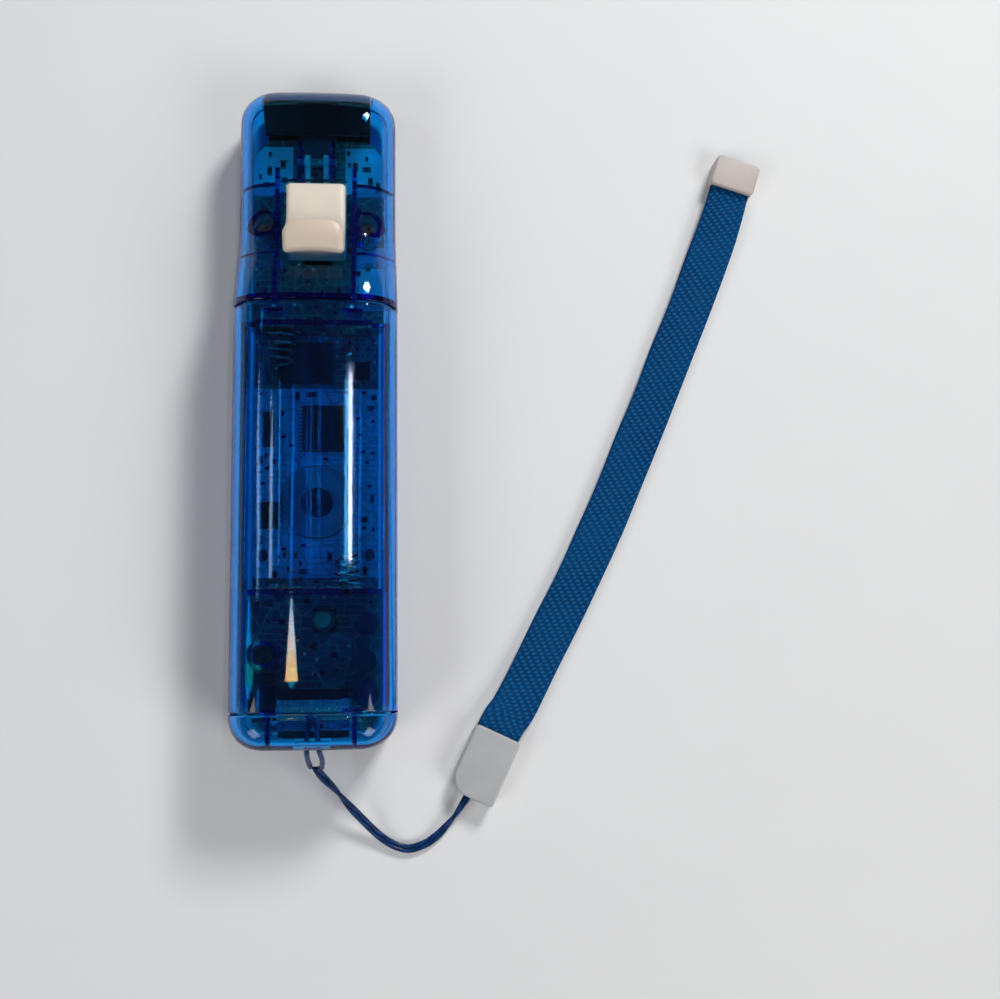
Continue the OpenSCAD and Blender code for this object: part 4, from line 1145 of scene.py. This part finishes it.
def board_parts_piece():
    """Resistors, small capacitors and chip legs, laid out from a fixed seed."""
    seeded = random.Random(7)
    taken = []
    for name in BOARD_NODES.split():
        low, high = span(name)
        taken.append((low.x - 0.9, high.x + 0.9, low.y - 0.9, high.y + 0.9))
    taken += [around(x, y, 3.6, 3.6) for x, y in SCREWS]
    taken += [around(x, y, 2, 2) for x, y in BOARD_SCREWS]
    bodies, ends = [], []
    tries = 0
    while len(bodies) < SMALL_PARTS and tries < MOST_TRIES:
        tries += 1
        x, y = seeded.uniform(-14.4, 14.4), seeded.uniform(-66, 62)
        large = seeded.random() < 0.25
        length, width = (1.9, 1.1) if large else (1.1, 0.6)
        if seeded.random() < 0.5:
            length, width = width, length
        place = around(x, y, length / 2 + 0.25, width / 2 + 0.25)
        if any(place[0] < t[1] and t[0] < place[1] and place[2] < t[3] and t[2] < place[3] for t in taken):
            continue
        taken.append(place)
        rise = 0.55 if large else 0.4
        bodies.append(chip(x, y, length / 2, width / 2, rise, 0.06))
        for s in (-0.4, 0.4):
            if length > width:
                ends.append(chip(x + s * length, y, length * 0.13, width / 2 + 0.03, rise + 0.03, 0.05))
            else:
                ends.append(chip(x, y + s * width, length / 2 + 0.03, width * 0.13, rise + 0.03, 0.05))
    for name, pitch in (("main_chip", 0.8), ("radio_chip", 0.9), ("memory_chip", 1.27)):
        low, high = span(name)
        count = int((high.y - low.y - 0.6) / pitch)
        for k in range(count + 1):
            y = low.y + 0.3 + (high.y - low.y - 0.6) * k / count
            ends += [chip(x, y, 0.7, 0.14, 0.3, 0.05) for x in (low.x, high.x)]
    return merged(bodies, "board_chips"), merged(ends, "board_solder")


chips, solder = board_parts_piece()
dress(chips, "wand_body", dark_plastic, "dark_plastic")
dress(solder, "wand_body", contact_steel, "contact_steel")


# CAD nodes that keep their shape and take a finer material

FINISHES = [
    (warm_white, "d_pad a_button power_button minus_button home_button plus_button one_button two_button"),
    (moulded_material("lens_glass", (0.01, 0.008, 0.02), 0.04, 0.1, 0.002, Coat_Weight=1.0), "ir_lens"),
    (dark_plastic, "trigger_switch ir_camera sync_switch expansion_connector"),
    (dark_plastic, "main_chip radio_chip memory_chip motion_sensor"),
    (moulded_material("speaker_grey", (0.14, 0.5, 0.4), 0.5, 0.1, 0.02), "speaker_frame"),
    (board_material(), "main_board"),
    (rubber_material(), "front_membrane middle_membrane rear_membrane d_pad_pivot"),
    (moulded_material("dark_rubber", (0.02, 0.022, 0.025), 0.75, 0.15, 0.03), "rumble_boot"),
    (moulded_material("pale_key", (0.1, 0.13, 0.1), 0.5, 0.015, 0.015), "sync_button"),
    (moulded_material("cone_film", (0.5, 0.48, 0.4), 0.35, 0.06, 0.02), "speaker_cone"),
    (metal_material("steel", (0.5, 0.5, 0.52), 0.3, (1, 1, 0.2)), "trigger_pin expansion_shield"),
    (metal_material("dark_steel", (0.09, 0.09, 0.1), 0.4, (1, 1, 0.2)),
     "rumble_motor rumble_weight shell_screws board_screws speaker_magnet crystal front_contact_spring"),
    (contact_steel, "front_plus_contact front_minus_contact rear_contact rear_contact_spring"),
    (metal_material("contact_brass", (0.6, 0.43, 0.18), 0.25, (0.1, 1, 1)), "expansion_contacts"),
    (capacitor_material(), "capacitors"),
    (moulded_material("lamp", (0.8, 0.8, 0.72), 0.25, 0.05, 0.01), "player_lights light_windows"),
]
for finish, names in FINISHES:
    for name in names.split():
        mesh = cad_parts[name].data
        mesh.materials.clear()
        mesh.materials.append(finish)
        shade(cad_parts[name])


# Floor, light and background

PALE = 0.74
PALE_GREY = (PALE, PALE, PALE)
LAMP_Z = 600
WAND_MIDDLE = (20, 0, 10)
SOFT = (420, 420)


def seen_ray(tree):
    """One for rays that show the background: the camera's, mirrored ones and those through clear plastic."""
    path = tree.add("LightPath")
    direct = tree.calc("MAXIMUM", path["Is Camera Ray"], path["Is Transmission Ray"])
    return tree.calc("MAXIMUM", direct, path["Is Glossy Ray"])


def floor_piece():
    """Plain pale floor, which runs into the pale background far from the object."""
    mesh = bpy.data.meshes.new("floor")
    reach = 4.0
    corners = [(-reach, -reach, 0), (reach, -reach, 0), (reach, reach, 0), (-reach, reach, 0)]
    mesh.from_pydata(corners, [], [(0, 1, 2, 3)])
    look = Surface("pale_floor", (0.78, 0.78, 0.78), 0.7)
    look.feed(Base_Color=look.mix(look.noise(30, 4), (0.77, 0.77, 0.775), (0.8, 0.8, 0.8)))
    place = look.add("TexCoord")["Object"]
    away = look.add("VectorMath", {0: place}, operation="LENGTH")["Value"]
    far = look.times(look.remap(away, 0.4, 0.9), seen_ray(look))
    pale = look.add("Emission", {"Color": rgba(PALE_GREY)})["Emission"]
    both = look.add("MixShader", {0: far, 1: look.shader.outputs["BSDF"], 2: pale})
    look.output("Surface", both["Shader"])
    mesh.materials.append(look.material)
    new_object("floor", mesh)


def area_light(name, at, aim, size, radiance, color=(1, 1, 1), turn=0):
    """Rectangular lamp, aimed at a point and turned about its aim; in millimetres."""
    data = bpy.data.lights.new(name, "AREA")
    data.shape = "RECTANGLE"
    data.size, data.size_y = size[0] * MM, size[1] * MM
    data.energy = radiance * pi * data.size * data.size_y
    data.color = color
    aimed = (Vector(aim) - Vector(at)).to_track_quat("-Z", "Y").to_matrix().to_4x4()
    spin = Matrix.Rotation(radians(turn), 4, "Z")
    new_object(name, data).matrix_world = Matrix.Translation(Vector(at) * MM) @ aimed @ spin


def strip_light(name, x, y, size, radiance, color=(1, 1, 1), turn=0):
    """Narrow lamp high over the wand, facing down, for a line of gloss along the back."""
    area_light(name, (x, y, LAMP_Z), (x, y, 0), size, radiance, color, turn)


def warm_streak(count=12):
    """Row of small lamps that widens and warms towards the rear."""
    cold, warm = Vector((0.8, 0.9, 1)), Vector((1, 0.5, 0.14))
    for k in range(count):
        f = k / (count - 1)
        color = cold.lerp(warm, min(1, 1.3 * f))
        strip_light("warm_streak", -104 + 3 * f, -22 - 56 * f, (4 + 42 * f, 5.1), 13 + 11 * f, color)


def studio():
    """Soft lights at the front right and the two rear sides, and narrow lamps for lines of gloss."""
    area_light("front_right_soft", (370, 570, 560), WAND_MIDDLE, (200, 200), 40)
    area_light("rear_right_soft", (560, -420, 560), WAND_MIDDLE, SOFT, 4.6)
    area_light("rear_left_soft", (-560, -420, 560), WAND_MIDDLE, SOFT, 3.8)
    strip_light("right_streak", 90.5, 66, (12, 126), 34)
    strip_light("right_line", 75, 62, (4, 120), 20, (0.2, 0.8, 1))
    strip_light("left_streak", -418, 70, (90, 168), 8, (0.5, 0.72, 1), 32)
    strip_light("left_line", -179, 55, (9, 122), 8, (0.7, 0.85, 1), 1)
    warm_streak()


def background():
    """World that is pale at the horizon and dark overhead."""
    world = bpy.data.worlds.new("studio")
    world.use_nodes = True
    scene.world = world
    tree = Nodes(world.node_tree)
    height = tree.axes(tree.add("TexCoord")["Generated"])["Z"]
    path = tree.add("LightPath")
    mirrored = tree.ramp(height, [(0.0, PALE), (0.05, PALE), (0.16, 0.04)])
    through = tree.ramp(height, [(0.0, PALE), (0.25, PALE), (0.5, 0.04)])
    color = tree.mix(path["Is Transmission Ray"], mirrored, through)
    color = tree.mix(path["Is Camera Ray"], color, PALE_GREY)
    tree.connect(world.node_tree.nodes["Background"], {"Color": color})


floor_piece()
studio()
background()
scene.view_settings.view_transform = "Standard"
scene.cycles.max_bounces = 24
scene.cycles.transmission_bounces = 24
scene.cycles.glossy_bounces = 6
